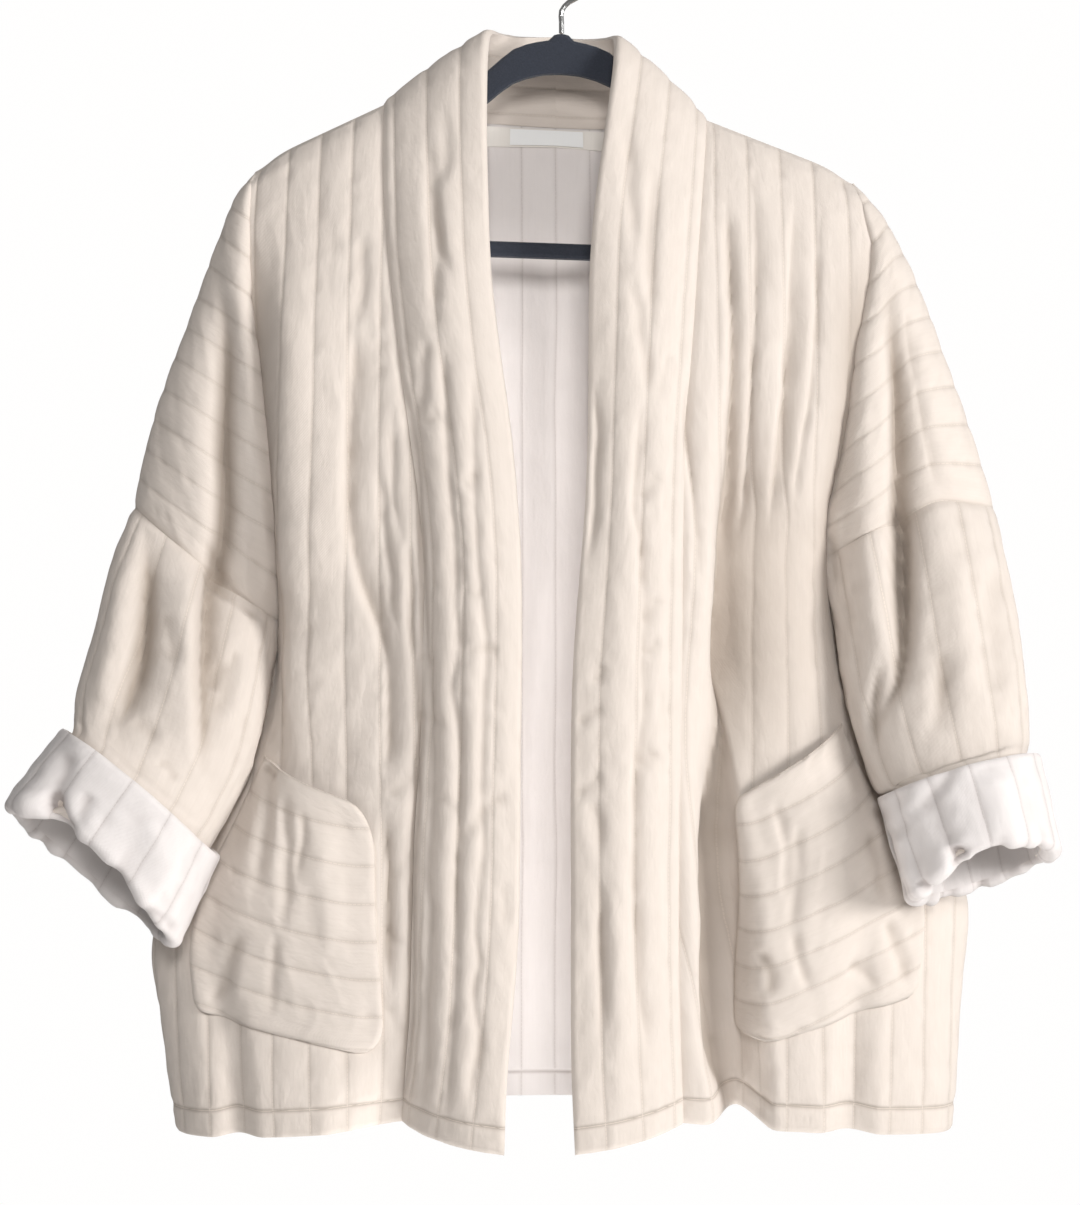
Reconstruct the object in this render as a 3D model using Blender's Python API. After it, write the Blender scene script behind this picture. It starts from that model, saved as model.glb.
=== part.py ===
"""Open-front quilted coat hanging on a flocked hanger.

Metres, +Z up. The coat's front faces -Y, the wearer's left is +X, and the
hanger lies in the plane y = 0. The origin is the inside top of the hook.
"Right" and "left" are the wearer's. Every cloth piece is a wall laid on a
middle surface that is worked out section by section from the tables below.
"""
from collections import namedtuple
import math

import bpy
import numpy as np

# Driving sizes of the cloth
CLOTH_WALL = 0.004        # two gauzes with a thin wadding between them
BAND_WALL = 0.005         # the collar band is the same cloth folded double and pressed
SEAM_GAP = 0.0004         # between two pieces along a seam
LAY_GAP = 0.0007          # between a panel and what is sewn flat on it
TAPE_WALL = 0.0008
LABEL_WALL = 0.0006
CUFF_SPACING = 0.009      # from the sleeve's middle surface to the turned-up cuff's
POCKET_GAPE = 0.012       # how far the pocket mouth stands off the front
POCKET_CORNER = 0.28      # part of the pocket that its rounded lower corners take

# How finely each piece is divided
FRONT_COLUMNS = 10        # collar seam to side
NECK_COLUMNS = 6          # centre back to the neck point
ARM_COLUMNS = 8           # half way round the arm
BAND_COLUMNS = 4          # across the collar band
CUFF_BEND_ROWS = 5        # round the fold at a sleeve's end
CUFF_WALL_ROWS = 4        # up the outside of a cuff
POCKET_COLUMNS = 8
POCKET_ROWS = 9
CROTCH_ROW = 8            # the section at which sleeve and body part

# How the sections are rounded
SEAM_BLEND = 0.35         # part of a front over which it leaves the collar seam
SIDE_CROWDING = 1.5       # how much closer a front's columns lie towards the side
BACK_BLEND = (0.2, 0.6)   # parts across between which the back goes over to its shoulder depth
LEAST_LEAN = 0.6          # limits how far a wall's corner reaches out at a sharp fold
SHARP_ANGLE = 40.0        # degrees; sharper edges than this are shaded as edges
BAND_ROLL = 0.008         # how far the collar band bows out between its edges

# Sections of a front, shoulder seam to hem. The seam point is on the collar
# seam, the outer point on the fold beside the sleeve and then on the side seam.
# The larger the rounding, the later the section turns in to its outer point.
FrontSection = namedtuple(
    "FrontSection", "seam_x seam_y seam_z middle_y outer_x outer_y outer_z rounding")
FRONT_SECTIONS = {
    "right": [
        FrontSection(-0.1275, 0.000, -0.112, 0.000, -0.2266, 0.000, -0.158, 4.0),
        FrontSection(-0.1274, -0.012, -0.131, -0.014, -0.2268, -0.012, -0.178, 4.0),
        FrontSection(-0.1268, -0.024, -0.168, -0.026, -0.2268, -0.018, -0.215, 4.0),
        FrontSection(-0.1240, -0.034, -0.212, -0.036, -0.2242, -0.020, -0.262, 4.0),
        FrontSection(-0.1190, -0.044, -0.256, -0.045, -0.2165, -0.020, -0.310, 4.0),
        FrontSection(-0.1130, -0.053, -0.304, -0.053, -0.2100, -0.019, -0.360, 4.0),
        FrontSection(-0.1065, -0.062, -0.354, -0.060, -0.2050, -0.017, -0.408, 4.0),
        FrontSection(-0.0998, -0.070, -0.404, -0.065, -0.2012, -0.012, -0.455, 4.0),
        FrontSection(-0.0955, -0.075, -0.455, -0.068, -0.2050, -0.003, -0.497, 2.2),
        FrontSection(-0.0952, -0.078, -0.505, -0.070, -0.2060, -0.003, -0.540, 2.2),
        FrontSection(-0.0965, -0.080, -0.555, -0.071, -0.2220, -0.005, -0.590, 2.2),
        FrontSection(-0.0990, -0.080, -0.605, -0.072, -0.2560, -0.008, -0.645, 2.2),
        FrontSection(-0.1020, -0.079, -0.655, -0.073, -0.2850, -0.011, -0.695, 2.2),
        FrontSection(-0.1035, -0.077, -0.710, -0.074, -0.2960, -0.014, -0.737, 2.2),
        FrontSection(-0.1050, -0.072, -0.765, -0.075, -0.2900, -0.017, -0.780, 2.6),
        FrontSection(-0.1085, -0.062, -0.815, -0.076, -0.2830, -0.019, -0.827, 3.0),
        FrontSection(-0.1114, -0.048, -0.857, -0.076, -0.2780, -0.020, -0.868, 3.2),
    ],
    "left": [
        FrontSection(0.1113, 0.000, -0.1235, 0.000, 0.2242, 0.000, -0.1675, 4.0),
        FrontSection(0.1100, -0.012, -0.1425, -0.014, 0.2262, -0.012, -0.188, 4.0),
        FrontSection(0.1072, -0.024, -0.176, -0.026, 0.2330, -0.018, -0.224, 4.0),
        FrontSection(0.1038, -0.034, -0.216, -0.036, 0.2275, -0.020, -0.262, 4.0),
        FrontSection(0.1006, -0.044, -0.257, -0.045, 0.2215, -0.020, -0.302, 4.0),
        FrontSection(0.0968, -0.053, -0.302, -0.053, 0.2155, -0.019, -0.342, 4.0),
        FrontSection(0.0930, -0.062, -0.346, -0.060, 0.2085, -0.017, -0.380, 4.0),
        FrontSection(0.0905, -0.070, -0.390, -0.065, 0.1995, -0.011, -0.417, 4.0),
        FrontSection(0.0892, -0.075, -0.435, -0.068, 0.1985, -0.003, -0.449, 2.2),
        FrontSection(0.0887, -0.078, -0.485, -0.070, 0.1980, -0.003, -0.495, 2.2),
        FrontSection(0.0882, -0.080, -0.535, -0.071, 0.2100, -0.005, -0.545, 2.2),
        FrontSection(0.0876, -0.080, -0.590, -0.072, 0.2400, -0.008, -0.600, 2.2),
        FrontSection(0.0868, -0.079, -0.645, -0.072, 0.2800, -0.011, -0.655, 2.2),
        FrontSection(0.0864, -0.077, -0.700, -0.071, 0.3010, -0.014, -0.702, 2.2),
        FrontSection(0.0870, -0.073, -0.755, -0.070, 0.2965, -0.017, -0.760, 2.6),
        FrontSection(0.0888, -0.066, -0.808, -0.068, 0.2925, -0.019, -0.815, 3.0),
        FrontSection(0.0907, -0.058, -0.856, -0.066, 0.2895, -0.020, -0.868, 3.2),
    ],
}

# Sections of the back at its centre line, neck seam to hem. The crown is how
# much of the neck seam's rise towards the shoulder a section still has.
BackSection = namedtuple("BackSection", "centre_y centre_z shoulder_y crown")
BACK_SECTIONS = [
    BackSection(0.045, -0.119, 0.000, 1.00),
    BackSection(0.046, -0.137, 0.014, 0.85),
    BackSection(0.049, -0.172, 0.026, 0.55),
    BackSection(0.051, -0.214, 0.036, 0.30),
    BackSection(0.053, -0.258, 0.044, 0.12),
    BackSection(0.055, -0.304, 0.050, 0.00),
    BackSection(0.057, -0.350, 0.054, 0.00),
    BackSection(0.059, -0.400, 0.058, 0.00),
    BackSection(0.061, -0.450, 0.061, 0.00),
    BackSection(0.063, -0.500, 0.063, 0.00),
    BackSection(0.065, -0.550, 0.065, 0.00),
    BackSection(0.066, -0.602, 0.067, 0.00),
    BackSection(0.067, -0.655, 0.069, 0.00),
    BackSection(0.068, -0.708, 0.071, 0.00),
    BackSection(0.069, -0.762, 0.072, 0.00),
    BackSection(0.070, -0.814, 0.073, 0.00),
    BackSection(0.070, -0.865, 0.074, 0.00),
]

# The ridge along the top of the arm, shoulder tip to the mid-arm seam, with how
# far the cloth stands out in front of it and behind it.
ArmSection = namedtuple("ArmSection", "ridge_x ridge_y ridge_z depth")
ARM_SECTIONS = {
    "right": [
        ArmSection(-0.2266, 0.000, -0.158, 0.000),
        ArmSection(-0.2345, 0.000, -0.1735, 0.005),
        ArmSection(-0.2450, 0.000, -0.199, 0.011),
        ArmSection(-0.2580, 0.000, -0.2345, 0.017),
        ArmSection(-0.2720, 0.000, -0.274, 0.022),
        ArmSection(-0.2860, -0.001, -0.311, 0.026),
        ArmSection(-0.2980, -0.002, -0.349, 0.030),
        ArmSection(-0.3065, -0.003, -0.383, 0.033),
        ArmSection(-0.3115, -0.004, -0.412, 0.035),
    ],
    "left": [
        ArmSection(0.2242, 0.000, -0.1675, 0.000),
        ArmSection(0.2345, 0.000, -0.1855, 0.005),
        ArmSection(0.2475, 0.000, -0.2065, 0.011),
        ArmSection(0.2610, 0.000, -0.232, 0.017),
        ArmSection(0.2735, 0.000, -0.262, 0.022),
        ArmSection(0.2850, -0.001, -0.294, 0.027),
        ArmSection(0.2965, -0.002, -0.327, 0.031),
        ArmSection(0.3095, -0.003, -0.366, 0.034),
        ArmSection(0.3233, -0.004, -0.4126, 0.036),
    ],
}

# Rings of a lower sleeve below the mid-arm seam, down to the turned-up edge. The
# tilt lifts a ring's front and lowers its back.
SleeveRing = namedtuple("SleeveRing", "inner_x inner_z outer_x outer_z centre_y depth tilt")
SLEEVE_RINGS = {
    "right": [
        SleeveRing(-0.2130, -0.5277, -0.3217, -0.4483, -0.026, 0.036, 0.000),
        SleeveRing(-0.2140, -0.5665, -0.3333, -0.5046, -0.042, 0.036, 0.001),
        SleeveRing(-0.2229, -0.6045, -0.3430, -0.5442, -0.052, 0.035, 0.003),
        SleeveRing(-0.2395, -0.6400, -0.3420, -0.5620, -0.064, 0.034, 0.005),
        SleeveRing(-0.2483, -0.6569, -0.3420, -0.5765, -0.076, 0.034, 0.007),
        SleeveRing(-0.2615, -0.6865, -0.3610, -0.6025, -0.080, 0.034, 0.010),
        SleeveRing(-0.2745, -0.7162, -0.3800, -0.6289, -0.083, 0.034, 0.013),
    ],
    "left": [
        SleeveRing(0.2070, -0.4999, 0.3274, -0.4522, -0.026, 0.037, 0.000),
        SleeveRing(0.2092, -0.5389, 0.3328, -0.4967, -0.042, 0.037, 0.001),
        SleeveRing(0.2162, -0.5760, 0.3339, -0.5382, -0.060, 0.037, 0.003),
        SleeveRing(0.2278, -0.6134, 0.3328, -0.5760, -0.073, 0.037, 0.005),
        SleeveRing(0.2361, -0.6181, 0.3295, -0.5923, -0.083, 0.036, 0.007),
        SleeveRing(0.2455, -0.6513, 0.3351, -0.6246, -0.090, 0.036, 0.010),
        SleeveRing(0.2549, -0.6845, 0.3407, -0.6569, -0.096, 0.036, 0.013),
    ],
}
CUFF_TOP_RING = 4         # the ring above at which the cuff's upper edge lies

# The collar band's free edge, beside each front section from the shoulder down.
BandEdge = namedtuple("BandEdge", "x y z")
BAND_EDGES = {
    "right": [
        BandEdge(-0.0500, -0.006, -0.055),
        BandEdge(-0.0512, -0.022, -0.084),
        BandEdge(-0.0510, -0.032, -0.130),
        BandEdge(-0.0495, -0.042, -0.183),
        BandEdge(-0.0478, -0.051, -0.236),
        BandEdge(-0.0420, -0.060, -0.292),
        BandEdge(-0.0340, -0.068, -0.349),
        BandEdge(-0.0282, -0.077, -0.404),
        BandEdge(-0.0250, -0.084, -0.458),
        BandEdge(-0.0247, -0.088, -0.508),
        BandEdge(-0.0252, -0.090, -0.558),
        BandEdge(-0.0256, -0.091, -0.608),
        BandEdge(-0.0262, -0.091, -0.658),
        BandEdge(-0.0268, -0.091, -0.713),
        BandEdge(-0.0310, -0.090, -0.768),
        BandEdge(-0.0352, -0.090, -0.818),
        BandEdge(-0.0373, -0.090, -0.871),
    ],
    "left": [
        BandEdge(0.0450, -0.006, -0.059),
        BandEdge(0.0425, -0.022, -0.087),
        BandEdge(0.0360, -0.032, -0.133),
        BandEdge(0.0285, -0.042, -0.186),
        BandEdge(0.0240, -0.051, -0.237),
        BandEdge(0.0230, -0.060, -0.291),
        BandEdge(0.0226, -0.068, -0.346),
        BandEdge(0.0212, -0.077, -0.398),
        BandEdge(0.0178, -0.084, -0.446),
        BandEdge(0.0135, -0.088, -0.494),
        BandEdge(0.0108, -0.090, -0.542),
        BandEdge(0.0098, -0.091, -0.595),
        BandEdge(0.0098, -0.091, -0.650),
        BandEdge(0.0098, -0.091, -0.705),
        BandEdge(0.0098, -0.090, -0.760),
        BandEdge(0.0102, -0.090, -0.815),
        BandEdge(0.0126, -0.090, -0.871),
    ],
}
BAND_BACK_Y = 0.034       # the band's free edge at the centre back
BAND_BACK_Z = -0.052

# The largest folds. Across is 0 at the collar seam or centre back and 1 at the
# side; depth pushes the cloth towards the inside of the coat, and the cloth is
# lifted by that part of it at the hem.
Fold = namedtuple("Fold", "across_top across_hem half_width depth first_row full_row lift")
FRONT_FOLDS = {
    "right": [
        Fold(0.78, 0.70, 0.12, 0.010, 9.0, 16.0, 0.002),
    ],
    "left": [
        Fold(0.11, 0.21, 0.13, 0.044, 9.0, 16.0, 0.007),
        Fold(0.62, 0.60, 0.12, 0.010, 11.0, 16.0, 0.002),
    ],
}
BACK_FOLDS = {
    "right": [
        Fold(0.30, 0.34, 0.14, 0.020, 4.0, 16.0, 0.004),
        Fold(0.62, 0.72, 0.12, 0.014, 7.0, 16.0, 0.002),
    ],
    "left": [
        Fold(0.22, 0.26, 0.12, 0.016, 6.0, 16.0, 0.003),
        Fold(0.60, 0.64, 0.15, 0.022, 3.0, 16.0, 0.004),
    ],
}

# Corners of a patch pocket on its front, as section number and part across, and
# the gap under its sewn edge, wider on the left where it bridges the deep fold.
PocketCorner = namedtuple("PocketCorner", "row across")
Pocket = namedtuple("Pocket", "top_inner top_outer bottom_inner bottom_outer lay")
POCKETS = {
    "right": Pocket(PocketCorner(11.35, 0.16), PocketCorner(10.20, 0.83),
                    PocketCorner(14.80, 0.09), PocketCorner(14.00, 0.83), lay=0.0012),
    "left": Pocket(PocketCorner(11.50, 0.23), PocketCorner(10.50, 0.84),
                   PocketCorner(14.85, 0.21), PocketCorner(14.10, 0.82), lay=0.0025),
}

# Strips inside the back of the neck, as section number and part across.
Strip = namedtuple("Strip", "first_row last_row from_x to_x columns")
NECK_TAPE = Strip(0.10, 0.88, -0.082, 0.074, 12)
NECK_LABEL = Strip(0.16, 0.82, -0.035, 0.021, 6)

# The hanger, in its own plane: half of its outline and of its window's, from the
# top of the arch round the arm's end to the middle of the trouser bar.
HANGER_X = 0.004          # the hanger's middle, beside the hook's bearing point
HANGER_TILT = 0.0361      # radians, wearer's left arm lower
HANGER_SEAT = -0.0004     # how far the whole hanger is moved to its seat under the cloth
HANGER_ROUND = 0.003      # half the moulding's thickness, fully rounded
OUTLINE_STEPS = 2         # points made for each row of the outline
Outline = namedtuple("Outline", "outer_x outer_z window_x window_z")
HANGER_OUTLINE = [
    Outline(0.0000, -0.0580, 0.0000, -0.0890),
    Outline(0.0055, -0.0592, 0.0060, -0.0892),
    Outline(0.0095, -0.0632, 0.0105, -0.0896),
    Outline(0.0180, -0.0648, 0.0180, -0.0908),
    Outline(0.0360, -0.0710, 0.0360, -0.0970),
    Outline(0.0560, -0.0883, 0.0550, -0.1122),
    Outline(0.0800, -0.1075, 0.0780, -0.1315),
    Outline(0.1070, -0.1270, 0.1040, -0.1500),
    Outline(0.1450, -0.1402, 0.1420, -0.1625),
    Outline(0.1850, -0.1541, 0.1780, -0.1745),
    Outline(0.2110, -0.1632, 0.1930, -0.1810),
    Outline(0.2190, -0.1675, 0.1985, -0.1860),
    Outline(0.2220, -0.1760, 0.2010, -0.1940),
    Outline(0.2200, -0.1990, 0.2005, -0.2040),
    Outline(0.2100, -0.2180, 0.1945, -0.2115),
    Outline(0.1930, -0.2266, 0.1850, -0.2143),
    Outline(0.0960, -0.2266, 0.0930, -0.2143),
    Outline(0.0000, -0.2266, 0.0000, -0.2143),
]

# The hook: bent wire whose inside top is the origin
WIRE_RADIUS = 0.0019
HOOK_INNER_RADIUS = 0.019
STEM_FOOT_Z = -0.0580     # the stem ends just above the moulding
STEM_TOP_Z = -0.0415
SWING_X = 0.0095           # half way from the stem's top to the round
SWING_Z = -0.0350
HOOK_START_ANGLE = -35.0  # degrees round the hook at which the stem's swing ends
HOOK_MOUTH_ANGLE = 205.0  # degrees round the hook at which the wire ends
HOOK_STEP_ANGLE = 15.0
HOOK_STEPS = 2            # points made between two of the hook's own
WIRE_RESOLUTION = 2       # steps in a quarter of the wire's round

Finish = namedtuple("Finish", "colour roughness metallic")
OATMEAL_GAUZE = Finish((0.56, 0.46, 0.36), 0.92, 0.0)
PALE_LINING = Finish((0.72, 0.65, 0.60), 0.92, 0.0)
LABEL_WEAVE = Finish((0.82, 0.82, 0.80), 0.75, 0.0)
NAVY_FLOCK = Finish((0.018, 0.022, 0.033), 0.95, 0.0)
BRIGHT_STEEL = Finish((0.75, 0.75, 0.74), 0.25, 1.0)


def unit(vectors):
    """Vectors along the last axis, brought to length one."""
    lengths = np.linalg.norm(vectors, axis=-1, keepdims=True)
    return vectors / np.maximum(lengths, 1e-12)


def smoothstep(low, high, value):
    """A soft step from 0 at low to 1 at high."""
    t = np.clip((value - low) / (high - low), 0.0, 1.0)
    return t * t * (3.0 - 2.0 * t)


def across_front():
    """Parts across a front, closer together where the section turns in."""
    even = np.linspace(0.0, 1.0, FRONT_COLUMNS + 1)
    return 1.0 - (1.0 - even) ** SIDE_CROWDING


def side_turn(across, rounding):
    """1 over most of a body section, falling to 0 as it turns in to the side."""
    return np.sqrt(1.0 - np.clip(across, 0.0, 1.0) ** rounding)


def fold_shift(folds, row, across):
    """How far the folds push one section in, and how far they lift it."""
    push = np.zeros_like(across)
    lift = np.zeros_like(across)
    for fold in folds:
        down = smoothstep(fold.first_row, fold.full_row, row)
        middle = fold.across_top + (fold.across_hem - fold.across_top) * down
        reach = np.clip((across - middle) / fold.half_width, -1.0, 1.0)
        profile = np.cos(0.5 * math.pi * reach) ** 2 * down
        push += fold.depth * profile
        lift += fold.lift * profile
    return push, lift


def front_body(side):
    """Middle surface of a front between the collar seam and the side."""
    across = across_front()
    rows = []
    for number, section in enumerate(FRONT_SECTIONS[side]):
        level = section.seam_y + (section.middle_y - section.seam_y) * smoothstep(0.0, SEAM_BLEND, across)
        push, lift = fold_shift(FRONT_FOLDS[side], number, across)
        x = section.seam_x + (section.outer_x - section.seam_x) * across
        y = section.outer_y + (level + push - section.outer_y) * side_turn(across, section.rounding)
        z = section.seam_z + (section.outer_z - section.seam_z) * across + lift
        rows.append(np.stack([x, y, z], axis=-1))
    return np.array(rows)


def neck_seam(side):
    """The back-neck seam, centre back to the neck point, a quarter of an ellipse."""
    neck = FRONT_SECTIONS[side][0]
    centre = BACK_SECTIONS[0]
    angle = np.linspace(0.0, 0.5 * math.pi, NECK_COLUMNS + 1)
    x = neck.seam_x * np.sin(angle)
    y = centre.centre_y * np.cos(angle)
    z = centre.centre_z + (neck.seam_z - centre.centre_z) * np.sin(angle)
    return np.stack([x, y, z], axis=-1)


def back_outer(side, number):
    """The outer point of a back section, on the back's side of the sleeve fold."""
    section = FRONT_SECTIONS[side][number]
    y = -section.outer_y if number < CROTCH_ROW else section.outer_y
    return np.array([section.outer_x, y, section.outer_z])


def back_half(side):
    """Middle surface of half the back, centre line to side."""
    shoulder = front_body(side)[0]
    first = np.concatenate([neck_seam(side), shoulder[1:]])
    across = first[:, 0] / first[-1, 0]
    crown = first[:, 2] - (first[0, 2] + (first[-1, 2] - first[0, 2]) * across)
    rows = [first]
    for number in range(1, len(BACK_SECTIONS)):
        section = BACK_SECTIONS[number]
        outer = back_outer(side, number)
        over = smoothstep(*BACK_BLEND, across)
        level = section.centre_y + (section.shoulder_y - section.centre_y) * over
        push, lift = fold_shift(BACK_FOLDS[side], number, across)
        x = outer[0] * across
        rounding = FRONT_SECTIONS[side][number].rounding
        y = outer[1] + (level - push - outer[1]) * side_turn(across, rounding)
        z = section.centre_z + (outer[2] - section.centre_z) * across + section.crown * crown + lift
        rows.append(np.stack([x, y, z], axis=-1))
    return np.array(rows)


def arm_half(inner, ridge, depth, facing, tilt=0.0):
    """Half an arm section from its inner point over to its ridge."""
    turn = np.linspace(0.0, math.pi, ARM_COLUMNS + 1)
    part = 0.5 - 0.5 * np.cos(turn)
    points = inner + (ridge - inner) * part[:, None]
    points[:, 1] += facing * depth * np.sin(turn)
    points[:, 2] -= facing * tilt * np.sin(turn)
    return points


def arm_extension(side, body, facing):
    """The dropped shoulder, cut in one with a body panel, out to its ridge."""
    rows = []
    for number, section in enumerate(ARM_SECTIONS[side]):
        ridge = np.array([section.ridge_x, section.ridge_y, section.ridge_z])
        rows.append(arm_half(body[number, -1], ridge, section.depth, facing))
    return np.array(rows)


def sleeve_rings(side, front_arm, back_arm):
    """Rings of a lower sleeve, starting on the mid-arm seam."""
    rows = [np.concatenate([front_arm[-1], back_arm[-1][-2:0:-1]])]
    for ring in SLEEVE_RINGS[side]:
        inner = np.array([ring.inner_x, ring.centre_y, ring.inner_z])
        outer = np.array([ring.outer_x, ring.centre_y, ring.outer_z])
        front = arm_half(inner, outer, ring.depth, -1.0, ring.tilt)
        back = arm_half(inner, outer, ring.depth, 1.0, ring.tilt)
        rows.append(np.concatenate([front, back[-2:0:-1]]))
    return np.array(rows)


def ring_at(rings, number):
    """A ring between two others, for a number that isn't whole."""
    low = int(math.floor(number))
    high = min(low + 1, len(rings) - 1)
    return rings[low] + (rings[high] - rings[low]) * (number - low)


def ring_outward(ring, axis):
    """Directions out of a ring, square to its edge and to the arm."""
    along = np.roll(ring, -1, axis=0) - np.roll(ring, 1, axis=0)
    outward = unit(np.cross(along, axis))
    facing = np.sum(outward * (ring - ring.mean(axis=0)), axis=-1)
    return outward * np.sign(facing.sum())


def cuff_rings(rings):
    """The turned-up end: round the fold at the sleeve's edge, then up outside it."""
    last = len(rings) - 1
    top = CUFF_TOP_RING + 1
    axis = unit(rings[last].mean(axis=0) - rings[top].mean(axis=0))
    outward = ring_outward(rings[last], axis)
    bend = 0.5 * CUFF_SPACING
    rows = []
    for angle in np.linspace(0.0, math.pi, CUFF_BEND_ROWS):
        rows.append(rings[last] + outward * bend * (1.0 - math.cos(angle)) + axis * bend * math.sin(angle))
    for number in np.linspace(last, top, CUFF_WALL_ROWS)[1:]:
        ring = ring_at(rings, number)
        rows.append(ring + ring_outward(ring, axis) * CUFF_SPACING)
    return np.array(rows)


def collar_band(side, body):
    """Half the collar band, centre back to hem, from its seam to its free edge."""
    seam = np.concatenate([neck_seam(side), body[1:, 0]])
    shoulder_edge = BAND_EDGES[side][0]
    angle = np.linspace(0.0, 0.5 * math.pi, NECK_COLUMNS + 1)
    x = shoulder_edge.x * np.sin(angle)
    y = shoulder_edge.y + (BAND_BACK_Y - shoulder_edge.y) * np.cos(angle)
    z = BAND_BACK_Z + (shoulder_edge.z - BAND_BACK_Z) * np.sin(angle)
    edge = np.concatenate([np.stack([x, y, z], axis=-1), np.array(BAND_EDGES[side][1:])])
    along = np.gradient(0.5 * (seam + edge), axis=0)
    outward = unit(np.cross(along, edge - seam))
    if side == "left":
        outward = -outward
    part = np.linspace(0.0, 1.0, BAND_COLUMNS + 1)[None, :, None]
    bow = BAND_ROLL * np.sin(math.pi * part)
    return seam[:, None] + (edge - seam)[:, None] * part + outward[:, None] * bow


def grid_faces(rows, columns, flip, closed=False):
    """Quads of a grid of points, turned to face out of the coat."""
    faces = []
    for row in range(rows - 1):
        for column in range(columns if closed else columns - 1):
            after = (column + 1) % columns
            quad = [row * columns + column, (row + 1) * columns + column,
                    (row + 1) * columns + after, row * columns + after]
            faces.append(quad[::-1] if flip else quad)
    return faces


def weld(points, faces):
    """One vertex for each place, with the faces that are left."""
    places = {}
    kept = []
    renumber = []
    for point in points:
        key = tuple(np.round(point, 7))
        if key not in places:
            places[key] = len(kept)
            kept.append(point)
        renumber.append(places[key])
    joined = []
    for face in faces:
        corners = []
        for corner in face:
            number = renumber[corner]
            if number not in corners:
                corners.append(number)
        if len(corners) > 2:
            joined.append(corners)
    return np.array(kept), joined


def panel(*grids):
    """Points and faces of one cut piece made of grids that share an edge."""
    points = []
    faces = []
    for grid, flip, closed in grids:
        rows, columns = grid.shape[:2]
        start = len(points)
        points.extend(grid.reshape(-1, 3))
        for face in grid_faces(rows, columns, flip, closed):
            faces.append([start + corner for corner in face])
    return weld(np.array(points), faces)


def face_normal(points, face):
    """A face's normal, as long as the face is large."""
    corners = points[face]
    total = np.zeros(3)
    for before, after in zip(corners, np.roll(corners, -1, axis=0)):
        total += np.cross(before, after)
    return 0.5 * total


def place_key(point):
    """A place in the coat, for finding the same point in two pieces."""
    return tuple(np.round(point, 6))


def sewn_offsets(panels, fixed):
    """For each place, the step out of the cloth for a wall of half thickness one.

    Pieces that meet at a seam share the step there, so their ends face each other.
    """
    sums = {}
    for points, faces in panels:
        for face in faces:
            normal = face_normal(points, face)
            for corner in face:
                key = place_key(points[corner])
                sums.setdefault(key, []).append(normal)
    steps = {}
    for key, normals in sums.items():
        normals = np.array(normals)
        sizes = np.linalg.norm(normals, axis=-1)
        direction = unit(normals.sum(axis=0))
        lean = np.sum(normals @ direction) / max(np.sum(sizes), 1e-12)
        steps[key] = direction / max(lean, LEAST_LEAN)
    for point, step in fixed:
        steps[place_key(point)] = step
    return steps


def fixed_steps(body):
    """Steps where too many pieces meet to share one: the neck point and the crotch."""
    shoulder = body[0, -1] - body[0, 0]
    rise = unit(np.array([-shoulder[2], 0.0, shoulder[0]]) * np.sign(shoulder[0]))
    return [(body[0, 0], rise), (body[CROTCH_ROW, -1], np.array([0.0, 0.0, -1.0]))]


def rim_edges(faces):
    """Edges with a face on one side only, in the direction of that face."""
    seen = {}
    for face in faces:
        for before, after in zip(face, face[1:] + face[:1]):
            seen[(before, after)] = True
    return [edge for edge in seen if (edge[1], edge[0]) not in seen]


def pulled_back(points, faces):
    """Points with every rim drawn back by half a seam's gap, into its own piece."""
    by_edge = {}
    for face in faces:
        for before, after in zip(face, face[1:] + face[:1]):
            by_edge[(before, after)] = face
    inwards = {}
    for before, after in rim_edges(faces):
        along = unit(points[after] - points[before])
        inside = points[by_edge[(before, after)]].mean(axis=0) - points[before]
        inward = unit(inside - along * np.dot(inside, along))
        for corner in (before, after):
            inwards.setdefault(corner, []).append(inward)
    moved = points.copy()
    for corner, directions in inwards.items():
        total = np.sum(directions, axis=0)
        reach = min(2.0, 2.0 / max(np.linalg.norm(total), 1e-6))
        moved[corner] += unit(total) * 0.5 * SEAM_GAP * reach
    return moved


def closed_wall(points, steps, faces, thickness):
    """Vertices and faces of a wall laid evenly on both sides of a surface.

    Each rim face is split from the same corner as its neighbour across a seam.
    """
    count = len(points)
    vertices = np.concatenate([points + steps * 0.5 * thickness, points - steps * 0.5 * thickness])
    shell = [list(face) for face in faces]
    shell += [[corner + count for corner in reversed(face)] for face in faces]
    for before, after in rim_edges(faces):
        rim = [after, before, before + count, after + count]
        if place_key(points[before]) < place_key(points[after]):
            rim = rim[1:] + rim[:1]
        shell.append(rim)
    return vertices, shell


def finish_material(name, finish):
    """A plain material in one of the coat's finishes."""
    material = bpy.data.materials.new(name)
    material.use_nodes = True
    shader = material.node_tree.nodes["Principled BSDF"]
    shader.inputs["Base Color"].default_value = (*finish.colour, 1.0)
    shader.inputs["Roughness"].default_value = finish.roughness
    shader.inputs["Metallic"].default_value = finish.metallic
    return material


def add_mesh(name, vertices, faces, finish):
    """A named object of one closed body, its faces cut into triangles."""
    triangles = []
    for face in faces:
        for corner in range(1, len(face) - 1):
            triangles.append((face[0], face[corner], face[corner + 1]))
    mesh = bpy.data.meshes.new(name)
    mesh.from_pydata([tuple(vertex) for vertex in vertices], [], triangles)
    mesh.shade_smooth()
    mesh.set_sharp_from_angle(angle=math.radians(SHARP_ANGLE))
    mesh.materials.append(finish_material(name, finish))
    item = bpy.data.objects.new(name, mesh)
    bpy.context.collection.objects.link(item)
    return item


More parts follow.
